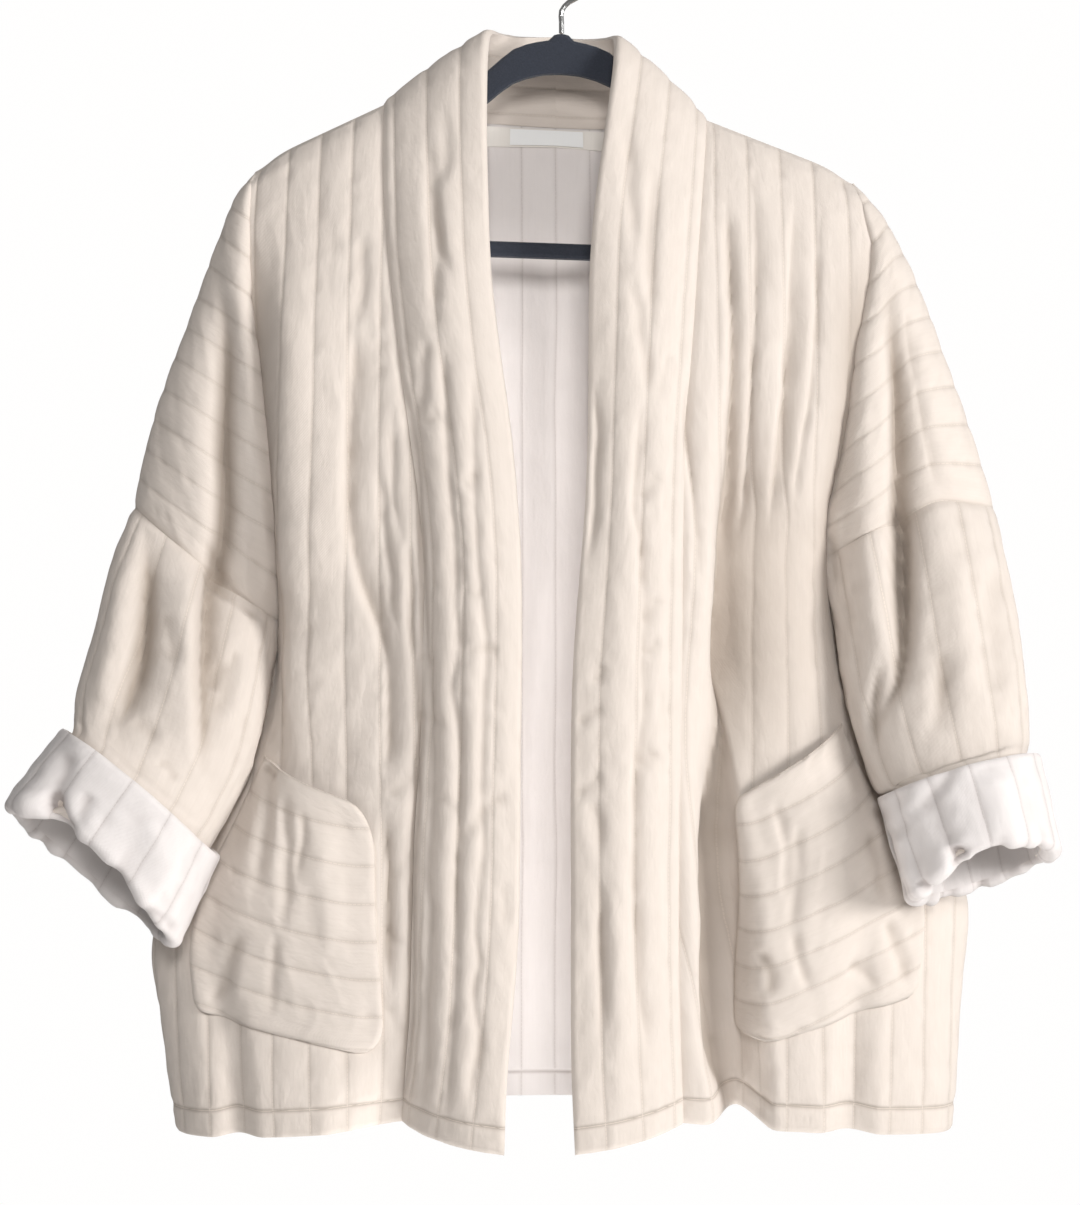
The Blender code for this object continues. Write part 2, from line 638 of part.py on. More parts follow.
def add_cloth(name, piece, steps, thickness, finish):
    """One sewn piece as a wall, its rims drawn back from the seams."""
    points, faces = piece
    own_steps = np.array([steps[place_key(point)] for point in points])
    vertices, shell = closed_wall(pulled_back(points, faces), own_steps, faces, thickness)
    add_mesh(name, vertices, shell, finish)


def grid_sample(grid, row, column):
    """A point of a grid at places between its rows and columns."""
    low_row = np.clip(np.floor(row).astype(int), 0, grid.shape[0] - 2)
    low_column = np.clip(np.floor(column).astype(int), 0, grid.shape[1] - 2)
    down = (row - low_row)[..., None]
    over = (column - low_column)[..., None]
    upper = grid[low_row, low_column] * (1.0 - over) + grid[low_row, low_column + 1] * over
    lower = grid[low_row + 1, low_column] * (1.0 - over) + grid[low_row + 1, low_column + 1] * over
    return upper * (1.0 - down) + lower * down


def step_grid(grid, steps):
    """The steps out of the cloth at every point of a grid."""
    flat = [steps[place_key(point)] for point in grid.reshape(-1, 3)]
    return np.array(flat).reshape(grid.shape)


def add_pocket(side, body, steps, finish):
    """A patch pocket: the front's own points moved out, its mouth standing off."""
    corners = POCKETS[side]
    across = np.linspace(0.0, 1.0, POCKET_COLUMNS + 1)[None, :]
    down = np.linspace(0.0, 1.0, POCKET_ROWS + 1)[:, None]
    turn = np.clip((down - 1.0 + POCKET_CORNER) / POCKET_CORNER, 0.0, 1.0)
    inset = POCKET_CORNER * (1.0 - np.sqrt(1.0 - turn ** 2))
    across = inset + across * (1.0 - 2.0 * inset)
    place = []
    for field in PocketCorner._fields:
        ends = [getattr(corner, field) for corner in corners[:4]]
        top = ends[0] + (ends[1] - ends[0]) * across
        bottom = ends[2] + (ends[3] - ends[2]) * across
        place.append(top + (bottom - top) * down)
    column = (1.0 - (1.0 - place[1]) ** (1.0 / SIDE_CROWDING)) * FRONT_COLUMNS
    normals = unit(grid_sample(step_grid(body, steps), place[0], column))
    gape = POCKET_GAPE * np.sin(math.pi * across) * (1.0 - down ** 2)
    lay = CLOTH_WALL + corners.lay + gape
    points = grid_sample(body, place[0], column) + normals * lay[..., None]
    faces = grid_faces(POCKET_ROWS + 1, POCKET_COLUMNS + 1, side == "right")
    vertices, shell = closed_wall(points.reshape(-1, 3), normals.reshape(-1, 3), faces, CLOTH_WALL)
    add_mesh("pocket_" + side, vertices, shell, finish)


def add_neck_strip(name, strip, back, steps, lay, thickness, finish):
    """A strip sewn inside the back of the neck, from the back's points moved in."""
    rows = np.array([strip.first_row, 0.5 * (strip.first_row + strip.last_row), strip.last_row])
    first_x = back[0, :, 0]
    wanted_x = np.linspace(strip.from_x, strip.to_x, strip.columns + 1)
    columns = np.interp(wanted_x, first_x, np.arange(len(first_x)))
    row, column = np.meshgrid(rows, columns, indexing="ij")
    normals = unit(grid_sample(step_grid(back, steps), row, column))
    points = grid_sample(back, row, column) - normals * lay
    faces = grid_faces(len(rows), len(columns), True)
    vertices, shell = closed_wall(points.reshape(-1, 3), normals.reshape(-1, 3), faces, thickness)
    add_mesh(name, vertices, shell, finish)


def smooth_through(points, steps):
    """A smooth open curve through points, with a number of steps for each gap."""
    padded = np.concatenate([2.0 * points[:1] - points[1:2], points, 2.0 * points[-1:] - points[-2:-1]])
    curve = []
    for number in range(len(points) - 1):
        a, b, c, d = padded[number:number + 4]
        for t in np.arange(steps) / steps:
            curve.append(0.5 * (2.0 * b + (c - a) * t + (2.0 * a - 5.0 * b + 4.0 * c - d) * t * t
                                + (3.0 * b - a - 3.0 * c + d) * t ** 3))
    curve.append(points[-1])
    return np.array(curve)


def whole_loop(half):
    """A closed outline from its right half, top middle to bottom middle."""
    mirrored = half[-2:0:-1] * np.array([-1.0, 1.0])
    return np.concatenate([half, mirrored])


def loop_outward(loop):
    """Directions out of an outline that runs clockwise from its top."""
    along = unit(np.roll(loop, -1, axis=0) - np.roll(loop, 1, axis=0))
    return np.stack([-along[:, 1], along[:, 0]], axis=-1)


def add_hanger(finish):
    """The hanger's moulding: arch, arms, rounded ends and bar round one window."""
    table = np.array(HANGER_OUTLINE)
    outer = whole_loop(smooth_through(table[:, :2], OUTLINE_STEPS))
    window = whole_loop(smooth_through(table[:, 2:], OUTLINE_STEPS))
    angles = np.radians([-90.0, -45.0, 0.0, 45.0, 90.0])
    loops = []
    for angle in angles:
        inset = HANGER_ROUND * (1.0 - math.cos(angle))
        loops.append((outer - loop_outward(outer) * inset, HANGER_ROUND * math.sin(angle)))
    for angle in angles[::-1]:
        inset = HANGER_ROUND * (1.0 - math.cos(angle))
        loops.append((window + loop_outward(window) * inset, HANGER_ROUND * math.sin(angle)))
    vertices = []
    for loop, y in loops:
        for x, z in loop:
            vertices.append((HANGER_X + x, y, z - HANGER_TILT * x + HANGER_SEAT))
    count = len(outer)
    faces = []
    for number in range(len(loops)):
        after = (number + 1) % len(loops)
        for corner in range(count):
            beside = (corner + 1) % count
            faces.append([number * count + corner, number * count + beside,
                          after * count + beside, after * count + corner])
    add_mesh("hanger", vertices, faces, finish)


def hook_path():
    """The hook's middle line: stem, a swing out to the side, and the round hook."""
    radius = HOOK_INNER_RADIUS + WIRE_RADIUS
    path = [(HANGER_X, STEM_FOOT_Z), (HANGER_X, 0.5 * (STEM_FOOT_Z + STEM_TOP_Z)), (HANGER_X, STEM_TOP_Z),
            (SWING_X, SWING_Z)]
    for degrees in np.arange(HOOK_START_ANGLE, HOOK_MOUTH_ANGLE + 1.0, HOOK_STEP_ANGLE):
        angle = math.radians(degrees)
        path.append((radius * math.cos(angle), radius * math.sin(angle) - HOOK_INNER_RADIUS))
    return smooth_through(np.array(path), HOOK_STEPS)


def add_hook(finish):
    """The bent wire that hangs on a rail."""
    curve = bpy.data.curves.new("hanger_hook", "CURVE")
    curve.dimensions = "3D"
    curve.bevel_depth = WIRE_RADIUS
    curve.bevel_resolution = WIRE_RESOLUTION
    curve.use_fill_caps = True
    spline = curve.splines.new("POLY")
    path = hook_path()
    spline.points.add(len(path) - 1)
    for point, (x, z) in zip(spline.points, path):
        point.co = (x, 0.0, z, 1.0)
    curve.materials.append(finish_material("hanger_hook", finish))
    item = bpy.data.objects.new("hanger_hook", curve)
    bpy.context.collection.objects.link(item)


def build():
    """Every piece of the coat, then the hanger that holds it."""
    for item in list(bpy.data.objects):
        bpy.data.objects.remove(item)
    bodies = {side: front_body(side) for side in ("right", "left")}
    backs = {side: back_half(side) for side in ("right", "left")}
    whole_back = np.concatenate([backs["right"][:, ::-1], backs["left"][:, 1:]], axis=1)
    pieces = {}
    back_grids = [(whole_back, True, False)]
    for side in ("right", "left"):
        on_right = side == "right"
        front_arm = arm_extension(side, bodies[side], -1.0)
        back_arm = arm_extension(side, backs[side], 1.0)
        back_grids.append((back_arm, not on_right, False))
        pieces["front_" + side] = panel((bodies[side], on_right, False), (front_arm, on_right, False))
        rings = sleeve_rings(side, front_arm, back_arm)
        pieces["sleeve_" + side] = panel((rings, on_right, True))
        pieces["cuff_" + side] = panel((cuff_rings(rings), on_right, True))
        pieces["collar_" + side] = panel((collar_band(side, bodies[side]), not on_right, False))
    pieces["back"] = panel(*back_grids)
    steps = sewn_offsets(pieces.values(), fixed_steps(bodies["right"]) + fixed_steps(bodies["left"]))
    for name, piece in pieces.items():
        thickness = BAND_WALL if name.startswith("collar") else CLOTH_WALL
        finish = PALE_LINING if name.startswith("cuff") else OATMEAL_GAUZE
        add_cloth(name, piece, steps, thickness, finish)
    for side in bodies:
        add_pocket(side, bodies[side], steps, OATMEAL_GAUZE)
    tape_lay = 0.5 * CLOTH_WALL + LAY_GAP + 0.5 * TAPE_WALL
    label_lay = tape_lay + 0.5 * TAPE_WALL + LAY_GAP + 0.5 * LABEL_WALL
    add_neck_strip("neck_tape", NECK_TAPE, whole_back, steps, tape_lay, TAPE_WALL, OATMEAL_GAUZE)
    add_neck_strip("neck_label", NECK_LABEL, whole_back, steps, label_lay, LABEL_WALL, LABEL_WEAVE)
    add_hanger(NAVY_FLOCK)
    add_hook(BRIGHT_STEEL)


build()
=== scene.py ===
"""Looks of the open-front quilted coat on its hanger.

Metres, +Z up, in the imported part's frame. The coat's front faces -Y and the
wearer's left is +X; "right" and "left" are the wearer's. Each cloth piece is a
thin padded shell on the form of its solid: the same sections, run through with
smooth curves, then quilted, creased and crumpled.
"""
import math
from collections import namedtuple
from functools import partial

import bpy
import numpy as np
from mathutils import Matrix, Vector


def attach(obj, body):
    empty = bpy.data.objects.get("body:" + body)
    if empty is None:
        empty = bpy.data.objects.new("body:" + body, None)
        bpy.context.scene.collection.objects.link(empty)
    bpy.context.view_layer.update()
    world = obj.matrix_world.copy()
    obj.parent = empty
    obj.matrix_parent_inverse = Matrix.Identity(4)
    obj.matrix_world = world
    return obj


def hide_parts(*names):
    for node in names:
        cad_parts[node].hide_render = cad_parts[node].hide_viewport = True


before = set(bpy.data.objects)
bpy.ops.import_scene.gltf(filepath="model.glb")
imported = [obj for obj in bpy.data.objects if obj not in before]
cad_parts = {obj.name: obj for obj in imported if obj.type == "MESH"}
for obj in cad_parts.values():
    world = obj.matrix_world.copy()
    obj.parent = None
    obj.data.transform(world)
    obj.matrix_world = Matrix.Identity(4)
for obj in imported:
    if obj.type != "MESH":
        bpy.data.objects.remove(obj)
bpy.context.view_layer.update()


def named_rows(kind, rows):
    """The plain rows of a table, with names for their columns."""
    return [kind(*row) for row in rows]


def both_sides(kind, tables):
    """The same for the tables of the right and the left side."""
    return {side: named_rows(kind, rows) for side, rows in tables.items()}


# Sections of a front, shoulder seam to hem. The seam point is on the collar
# seam, the outer point on the fold beside the sleeve and then on the side seam.
# The larger the rounding, the later the section turns in to its outer point.
FrontSection = namedtuple(
    "FrontSection", "seam_x seam_y seam_z middle_y outer_x outer_y outer_z rounding")
FRONT_SECTIONS = both_sides(FrontSection, {
    "right": [
        (-0.1275, 0.000, -0.112, 0.000, -0.2266, 0.000, -0.158, 4.0),
        (-0.1274, -0.012, -0.131, -0.014, -0.2268, -0.012, -0.178, 4.0),
        (-0.1268, -0.024, -0.168, -0.026, -0.2268, -0.018, -0.215, 4.0),
        (-0.1240, -0.034, -0.212, -0.036, -0.2242, -0.020, -0.262, 4.0),
        (-0.1190, -0.044, -0.256, -0.045, -0.2165, -0.020, -0.310, 4.0),
        (-0.1130, -0.053, -0.304, -0.053, -0.2100, -0.019, -0.360, 4.0),
        (-0.1065, -0.062, -0.354, -0.060, -0.2050, -0.017, -0.408, 4.0),
        (-0.0998, -0.070, -0.404, -0.065, -0.2012, -0.012, -0.455, 4.0),
        (-0.0955, -0.075, -0.455, -0.068, -0.2050, -0.003, -0.497, 2.2),
        (-0.0952, -0.078, -0.505, -0.070, -0.2085, -0.003, -0.540, 2.2),
        (-0.0965, -0.080, -0.555, -0.071, -0.2270, -0.005, -0.590, 2.2),
        (-0.0990, -0.080, -0.605, -0.072, -0.2560, -0.008, -0.645, 2.2),
        (-0.1020, -0.079, -0.655, -0.073, -0.2850, -0.011, -0.695, 2.2),
        (-0.1035, -0.077, -0.710, -0.074, -0.2960, -0.014, -0.737, 2.2),
        (-0.1050, -0.072, -0.765, -0.075, -0.2900, -0.017, -0.780, 2.6),
        (-0.1085, -0.062, -0.815, -0.076, -0.2830, -0.019, -0.827, 3.0),
        (-0.1114, -0.048, -0.857, -0.076, -0.2780, -0.020, -0.868, 3.2),
    ],
    "left": [
        (0.1113, 0.000, -0.1235, 0.000, 0.2242, 0.000, -0.1675, 4.0),
        (0.1100, -0.012, -0.1425, -0.014, 0.2262, -0.012, -0.188, 4.0),
        (0.1072, -0.024, -0.176, -0.026, 0.2330, -0.018, -0.224, 4.0),
        (0.1038, -0.034, -0.216, -0.036, 0.2275, -0.020, -0.262, 4.0),
        (0.1006, -0.044, -0.257, -0.045, 0.2215, -0.020, -0.302, 4.0),
        (0.0968, -0.053, -0.302, -0.053, 0.2155, -0.019, -0.342, 4.0),
        (0.0930, -0.062, -0.346, -0.060, 0.2085, -0.017, -0.380, 4.0),
        (0.0905, -0.070, -0.390, -0.065, 0.1995, -0.011, -0.417, 4.0),
        (0.0892, -0.075, -0.435, -0.068, 0.1985, -0.003, -0.449, 2.2),
        (0.0887, -0.078, -0.485, -0.070, 0.2030, -0.003, -0.495, 2.2),
        (0.0882, -0.080, -0.535, -0.071, 0.2160, -0.005, -0.545, 2.2),
        (0.0876, -0.080, -0.590, -0.072, 0.2400, -0.008, -0.600, 2.2),
        (0.0868, -0.079, -0.645, -0.072, 0.2800, -0.011, -0.655, 2.2),
        (0.0864, -0.077, -0.700, -0.071, 0.3010, -0.014, -0.702, 2.2),
        (0.0870, -0.073, -0.755, -0.070, 0.2965, -0.017, -0.760, 2.6),
        (0.0888, -0.066, -0.808, -0.068, 0.2925, -0.019, -0.815, 3.0),
        (0.0907, -0.058, -0.856, -0.066, 0.2895, -0.020, -0.868, 3.2),
    ],
})

# Sections of the back at its centre line, neck seam to hem. The crown is how
# much of the neck seam's rise towards the shoulder a section still has.
BackSection = namedtuple("BackSection", "centre_y centre_z shoulder_y crown")
BACK_SECTIONS = named_rows(BackSection, [
    (0.045, -0.119, 0.000, 1.00),
    (0.046, -0.137, 0.014, 0.85),
    (0.049, -0.172, 0.026, 0.55),
    (0.051, -0.214, 0.036, 0.30),
    (0.053, -0.258, 0.044, 0.12),
    (0.055, -0.304, 0.050, 0.00),
    (0.057, -0.350, 0.054, 0.00),
    (0.059, -0.400, 0.058, 0.00),
    (0.061, -0.450, 0.061, 0.00),
    (0.063, -0.500, 0.063, 0.00),
    (0.065, -0.550, 0.065, 0.00),
    (0.066, -0.602, 0.067, 0.00),
    (0.067, -0.655, 0.069, 0.00),
    (0.068, -0.708, 0.071, 0.00),
    (0.069, -0.762, 0.072, 0.00),
    (0.070, -0.814, 0.073, 0.00),
    (0.070, -0.865, 0.074, 0.00),
])

# The ridge along the top of the arm, shoulder tip to the mid-arm seam, with how
# far the cloth stands out in front of it and behind it.
ArmSection = namedtuple("ArmSection", "ridge_x ridge_y ridge_z depth")
ARM_SECTIONS = both_sides(ArmSection, {
    "right": [
        (-0.2266, 0.000, -0.158, 0.000),
        (-0.2345, 0.000, -0.1735, 0.005),
        (-0.2450, 0.000, -0.199, 0.011),
        (-0.2580, 0.000, -0.2345, 0.017),
        (-0.2720, 0.000, -0.274, 0.022),
        (-0.2860, -0.001, -0.311, 0.026),
        (-0.2980, -0.002, -0.349, 0.030),
        (-0.3065, -0.003, -0.383, 0.033),
        (-0.3115, -0.004, -0.412, 0.035),
    ],
    "left": [
        (0.2242, 0.000, -0.1675, 0.000),
        (0.2345, 0.000, -0.1855, 0.005),
        (0.2475, 0.000, -0.2065, 0.011),
        (0.2610, 0.000, -0.232, 0.017),
        (0.2735, 0.000, -0.262, 0.022),
        (0.2850, -0.001, -0.294, 0.027),
        (0.2965, -0.002, -0.327, 0.031),
        (0.3095, -0.003, -0.366, 0.034),
        (0.3233, -0.004, -0.4126, 0.036),
    ],
})

# Rings of a lower sleeve below the mid-arm seam, down to the turned-up edge. The
# tilt lifts a ring's front and lowers its back.
SleeveRing = namedtuple("SleeveRing", "inner_x inner_z outer_x outer_z centre_y depth tilt")
SLEEVE_RINGS = both_sides(SleeveRing, {
    "right": [
        (-0.2085, -0.5277, -0.3217, -0.4483, -0.026, 0.036, 0.000),
        (-0.2140, -0.5665, -0.3333, -0.5046, -0.042, 0.036, 0.001),
        (-0.2229, -0.6045, -0.3430, -0.5442, -0.052, 0.035, 0.003),
        (-0.2395, -0.6400, -0.3420, -0.5620, -0.064, 0.034, 0.005),
        (-0.2483, -0.6569, -0.3420, -0.5765, -0.076, 0.034, 0.007),
        (-0.2615, -0.6865, -0.3610, -0.6025, -0.080, 0.034, 0.010),
        (-0.2745, -0.7162, -0.3800, -0.6289, -0.083, 0.034, 0.013),
    ],
    "left": [
        (0.2055, -0.4999, 0.3274, -0.4522, -0.026, 0.037, 0.000),
        (0.2092, -0.5389, 0.3328, -0.4967, -0.042, 0.037, 0.001),
        (0.2162, -0.5760, 0.3339, -0.5382, -0.060, 0.037, 0.003),
        (0.2278, -0.6134, 0.3328, -0.5760, -0.073, 0.037, 0.005),
        (0.2361, -0.6181, 0.3295, -0.5923, -0.083, 0.036, 0.007),
        (0.2455, -0.6513, 0.3351, -0.6246, -0.090, 0.036, 0.010),
        (0.2549, -0.6845, 0.3407, -0.6569, -0.096, 0.036, 0.013),
    ],
})
CUFF_TOP_RING = 4         # the ring above at which the cuff's upper edge lies

# The collar band's free edge, beside each front section from the shoulder down.
BandEdge = namedtuple("BandEdge", "x y z")
BAND_EDGES = both_sides(BandEdge, {
    "right": [
        (-0.0500, -0.006, -0.055),
        (-0.0512, -0.022, -0.084),
        (-0.0510, -0.032, -0.130),
        (-0.0495, -0.042, -0.183),
        (-0.0478, -0.051, -0.236),
        (-0.0420, -0.060, -0.292),
        (-0.0340, -0.068, -0.349),
        (-0.0282, -0.077, -0.404),
        (-0.0250, -0.084, -0.458),
        (-0.0247, -0.088, -0.508),
        (-0.0252, -0.090, -0.558),
        (-0.0256, -0.091, -0.608),
        (-0.0262, -0.091, -0.658),
        (-0.0268, -0.091, -0.713),
        (-0.0310, -0.090, -0.768),
        (-0.0352, -0.090, -0.818),
        (-0.0373, -0.090, -0.871),
    ],
    "left": [
        (0.0450, -0.006, -0.059),
        (0.0425, -0.022, -0.087),
        (0.0360, -0.032, -0.133),
        (0.0285, -0.042, -0.186),
        (0.0240, -0.051, -0.237),
        (0.0230, -0.060, -0.291),
        (0.0226, -0.068, -0.346),
        (0.0212, -0.077, -0.398),
        (0.0178, -0.084, -0.446),
        (0.0135, -0.088, -0.494),
        (0.0108, -0.090, -0.542),
        (0.0098, -0.091, -0.595),
        (0.0098, -0.091, -0.650),
        (0.0098, -0.091, -0.705),
        (0.0098, -0.090, -0.760),
        (0.0102, -0.090, -0.815),
        (0.0126, -0.090, -0.871),
    ],
})
BAND_BACK_Y = 0.034       # the band's free edge at the centre back
BAND_BACK_Z = -0.052

# The largest folds. Across is 0 at the collar seam or centre back and 1 at the
# side. Depth pushes the cloth towards the inside of the coat and lift raises it,
# both growing from the first row to the full row.
Fold = namedtuple("Fold", "across_top across_hem half_width depth first_row full_row lift")
FRONT_FOLDS = both_sides(Fold, {
    "right": [
        (0.78, 0.70, 0.12, 0.010, 9.0, 16.0, 0.002),
    ],
    "left": [
        (0.11, 0.21, 0.13, 0.044, 9.0, 16.0, 0.007),
        (0.62, 0.60, 0.12, 0.010, 11.0, 16.0, 0.002),
    ],
})
BACK_FOLDS = both_sides(Fold, {
    "right": [
        (0.30, 0.34, 0.14, 0.020, 4.0, 16.0, 0.004),
        (0.62, 0.72, 0.12, 0.014, 7.0, 16.0, 0.002),
    ],
    "left": [
        (0.22, 0.26, 0.12, 0.016, 6.0, 16.0, 0.003),
        (0.60, 0.64, 0.15, 0.022, 3.0, 16.0, 0.004),
    ],
})

# Corners of a patch pocket on its front, as section number and part across
PocketCorner = namedtuple("PocketCorner", "row across")
Pocket = namedtuple("Pocket", "top_inner top_outer bottom_inner bottom_outer")
POCKETS = {
    "right": Pocket(PocketCorner(11.35, 0.16), PocketCorner(10.20, 0.83),
                    PocketCorner(14.80, 0.09), PocketCorner(14.00, 0.83)),
    "left": Pocket(PocketCorner(11.50, 0.23), PocketCorner(10.50, 0.84),
                   PocketCorner(14.85, 0.21), PocketCorner(14.10, 0.82)),
}

# Strips inside the back of the neck, as section numbers and places across
Strip = namedtuple("Strip", "first_row last_row from_x to_x")
NECK_TAPE = Strip(0.10, 0.88, -0.082, 0.074)
NECK_LABEL = Strip(0.16, 0.82, -0.035, 0.021)


# Sizes of the cloth
HALF_WALL = 0.0013        # from the middle of the cloth to a face, beside a stitch line
BAND_HALF_WALL = 0.0019   # the same in the collar band, which is folded double
CUFF_SPACING = 0.009      # from the sleeve's middle surface to the turned-up cuff's
POCKET_GAPE = 0.012       # how far the pocket mouth stands off the front
POCKET_LIFT = 0.0034      # from the front's middle surface to the pocket's, at its sewn edge
TAPE_LIFT = 0.0030
TAPE_HALF_WALL = 0.0004
LABEL_LIFT = 0.0043
LABEL_HALF_WALL = 0.0003
MOUTH_SCOOP = {"right": 0.017, "left": 0.012}   # how far the front of a sleeve's mouth is drawn up
BAND_ROLL = 0.011         # how far the collar band bows out between its edges
NECK_ROLL = 0.15          # part of that bow which is left round the neck
ROLL_ROWS = (1.0, 5.0)    # sections between which the band takes up its full bow
SEAM_BOW = {"right": 0.0, "left": 0.019}   # rise of the mid-arm seam's front
BOW_PEAK = 0.62           # where it rises most, as part of the way out to the ridge
BOW_ABOVE = 0.16          # how far the bow is felt up the arm and down the sleeve
BOW_BELOW = 0.05
BOW_PASSES = 12
TIP_DROP = 0.005          # how far the shoulder's tip is rounded down
TIP_REACH = 0.018
TIP_WAY = (0.6, 0.8)      # outward and upward parts of the way in which it sticks out
EDGE_ROUND = 0.0035       # width over which a free edge rounds off
EDGE_THIN = 0.9           # how far it thins out there
INNER_PUFF = 0.7          # how far the lining puffs, as a part of the outer face
INNER_PASSES = 2          # steps by which the coarser inner face keeps clear of the outer one
SHARP_ANGLE = 50.0        # degrees between faces above which an edge shows

# How the sections are rounded, as in the solids
SEAM_BLEND = 0.35
SIDE_CROWDING = 1.5
BACK_BLEND = (0.2, 0.6)
COLLAR_PASSES = 60        # smoothing of the collar band where it turns over the shoulder

# How much of a pocket each of its rounded corners takes
PocketRound = namedtuple("PocketRound", "top_inner bottom_inner bottom_outer")
POCKET_ROUNDS = {
    "right": PocketRound(0.20, 0.16, 0.06),
    "left": PocketRound(0.07, 0.09, 0.06),
}

# How finely each piece is divided; all even, because the inner face takes every second line
SECTION_STEPS = 20
FRONT_COLUMNS = 96
BACK_COLUMNS = 44
NECK_COLUMNS = 40
ARM_COLUMNS = 64
BAND_COLUMNS = 48
RING_STEPS = 24
CUFF_BEND_ROWS = 12
CUFF_WALL_ROWS = 44
POCKET_LINES = 96
STRIP_ROWS = 8
STRIP_COLUMNS = 80

# Quilting
CHANNEL = 0.0262          # between two lines of stitching on the body and the arms
POCKET_CHANNEL = 0.0268
BAND_FIRST_LINE = 0.12    # lines along the collar band, as parts from its seam to its free edge
BAND_LINE_STEP = 0.315
SLEEVE_CHANNELS = 12
HEM_LINE = 0.019          # the hem's stitching, above the edge
PUFF = 0.0013             # how far the middle of a channel stands above its stitching
ARM_PUFF = 0.0008         # the same on the arms and pockets
PUFF_POWER = 2.6
PUFF_UNEVEN = 0.3
PUFF_GRAIN = (0.06, 0.03)     # along and across a channel, as for the next two grains
PUCKER = 0.0007
PUCKER_REACH = 0.006
PUCKER_GRAIN = (0.009, 0.03)
WAVER = 0.0009            # how far a line of stitching strays
WAVER_GRAIN = (0.07, 0.05)
LINE_REACH = 0.004        # width over which a line or a seam draws the padding in
SEAM_REACH = 0.007
SEAM_DIP = 0.0005
SEAM_WIDTH = 0.0022
HEM_PUFF = 0.25           # part of the puff that is left below the hem's stitching
HEM_FADE = 0.4            # it falls to that between the stitching and this part of its height
GRAIN_X = {"right": -0.150, "left": 0.190}   # where a line of stitching hangs straight down

SIDES = ("right", "left")
FAR = 1e6
TINY = 1e-12
SAME_PLACE = 1e-6         # points closer together than this are one place
CROTCH_ROW = 8
LAST_ROW = 16
ROWS = np.linspace(0.0, LAST_ROW, LAST_ROW * SECTION_STEPS + 1)
ARM_ROWS = ROWS[:CROTCH_ROW * SECTION_STEPS + 1]


def unit(vectors):
    """Vectors along the last axis, brought to length one."""
    lengths = np.linalg.norm(vectors, axis=-1, keepdims=True)
    return vectors / np.maximum(lengths, TINY)


def smoothstep(low, high, value):
    """A soft step from 0 at low to 1 at high."""
    t = np.clip((value - low) / (high - low), 0.0, 1.0)
    return t * t * (3.0 - 2.0 * t)


def between(first, second, part):
    """A value that lies part of the way from a first one to a second."""
    return first + (second - first) * part


def through_rows(table, rows):
    """Values between a table's rows, on a smooth curve through them."""
    table = np.asarray(table, float)
    padded = np.concatenate([2.0 * table[:1] - table[1:2], table, 2.0 * table[-1:] - table[-2:-1]])
    low = np.clip(np.floor(rows).astype(int), 0, len(table) - 2)
    t = (rows - low).reshape(-1, *[1] * (table.ndim - 1))
    a, b, c, d = padded[low], padded[low + 1], padded[low + 2], padded[low + 3]
    bend = (2.0 * a - 5.0 * b + 4.0 * c - d) * t + (3.0 * (b - c) + d - a) * t * t
    return b + 0.5 * t * (c - a + bend)


def crowded(columns):
    """Parts across a section, closer together where it turns in to the side."""
    return 1.0 - (1.0 - np.linspace(0.0, 1.0, columns + 1)) ** SIDE_CROWDING


def side_turn(across, rounding):
    """1 over most of a body section, falling to 0 as it turns in to the side."""
    return np.sqrt(1.0 - np.clip(across, 0.0, 1.0) ** rounding)


def fold_shift(folds, across):
    """How far the large folds push the cloth in, and how far they lift it."""
    push = np.zeros((len(ROWS), len(across)))
    lift = np.zeros_like(push)
    for fold in folds:
        down = smoothstep(fold.first_row, fold.full_row, ROWS)[:, None]
        middle = between(fold.across_top, fold.across_hem, down)
        reach = np.clip((across[None] - middle) / fold.half_width, -1.0, 1.0)
        profile = np.cos(0.5 * math.pi * reach) ** 2 * down
        push += fold.depth * profile
        lift += fold.lift * profile
    return push, lift


def front_form(side):
    """Middle surface of a front between the collar seam and the side."""
    across = crowded(FRONT_COLUMNS)
    points = []
    turns = []
    for section in FRONT_SECTIONS[side]:
        level = between(section.seam_y, section.middle_y, smoothstep(0.0, SEAM_BLEND, across))
        turn = side_turn(across, section.rounding)
        x = between(section.seam_x, section.outer_x, across)
        y = between(section.outer_y, level, turn)
        z = between(section.seam_z, section.outer_z, across)
        points.append(np.stack([x, y, z], axis=-1))
        turns.append(turn)
    form = through_rows(points, ROWS)
    push, lift = fold_shift(FRONT_FOLDS[side], across)
    form[..., 1] += push * through_rows(turns, ROWS)
    form[..., 2] += lift
    return form


def neck_seam(side):
    """The back-neck seam, centre back to the neck point, a quarter of an ellipse."""
    neck = FRONT_SECTIONS[side][0]
    centre = BACK_SECTIONS[0]
    angle = np.linspace(0.0, 0.5 * math.pi, NECK_COLUMNS + 1)
    x = neck.seam_x * np.sin(angle)
    y = centre.centre_y * np.cos(angle)
    z = between(centre.centre_z, neck.seam_z, np.sin(angle))
    return np.stack([x, y, z], axis=-1)


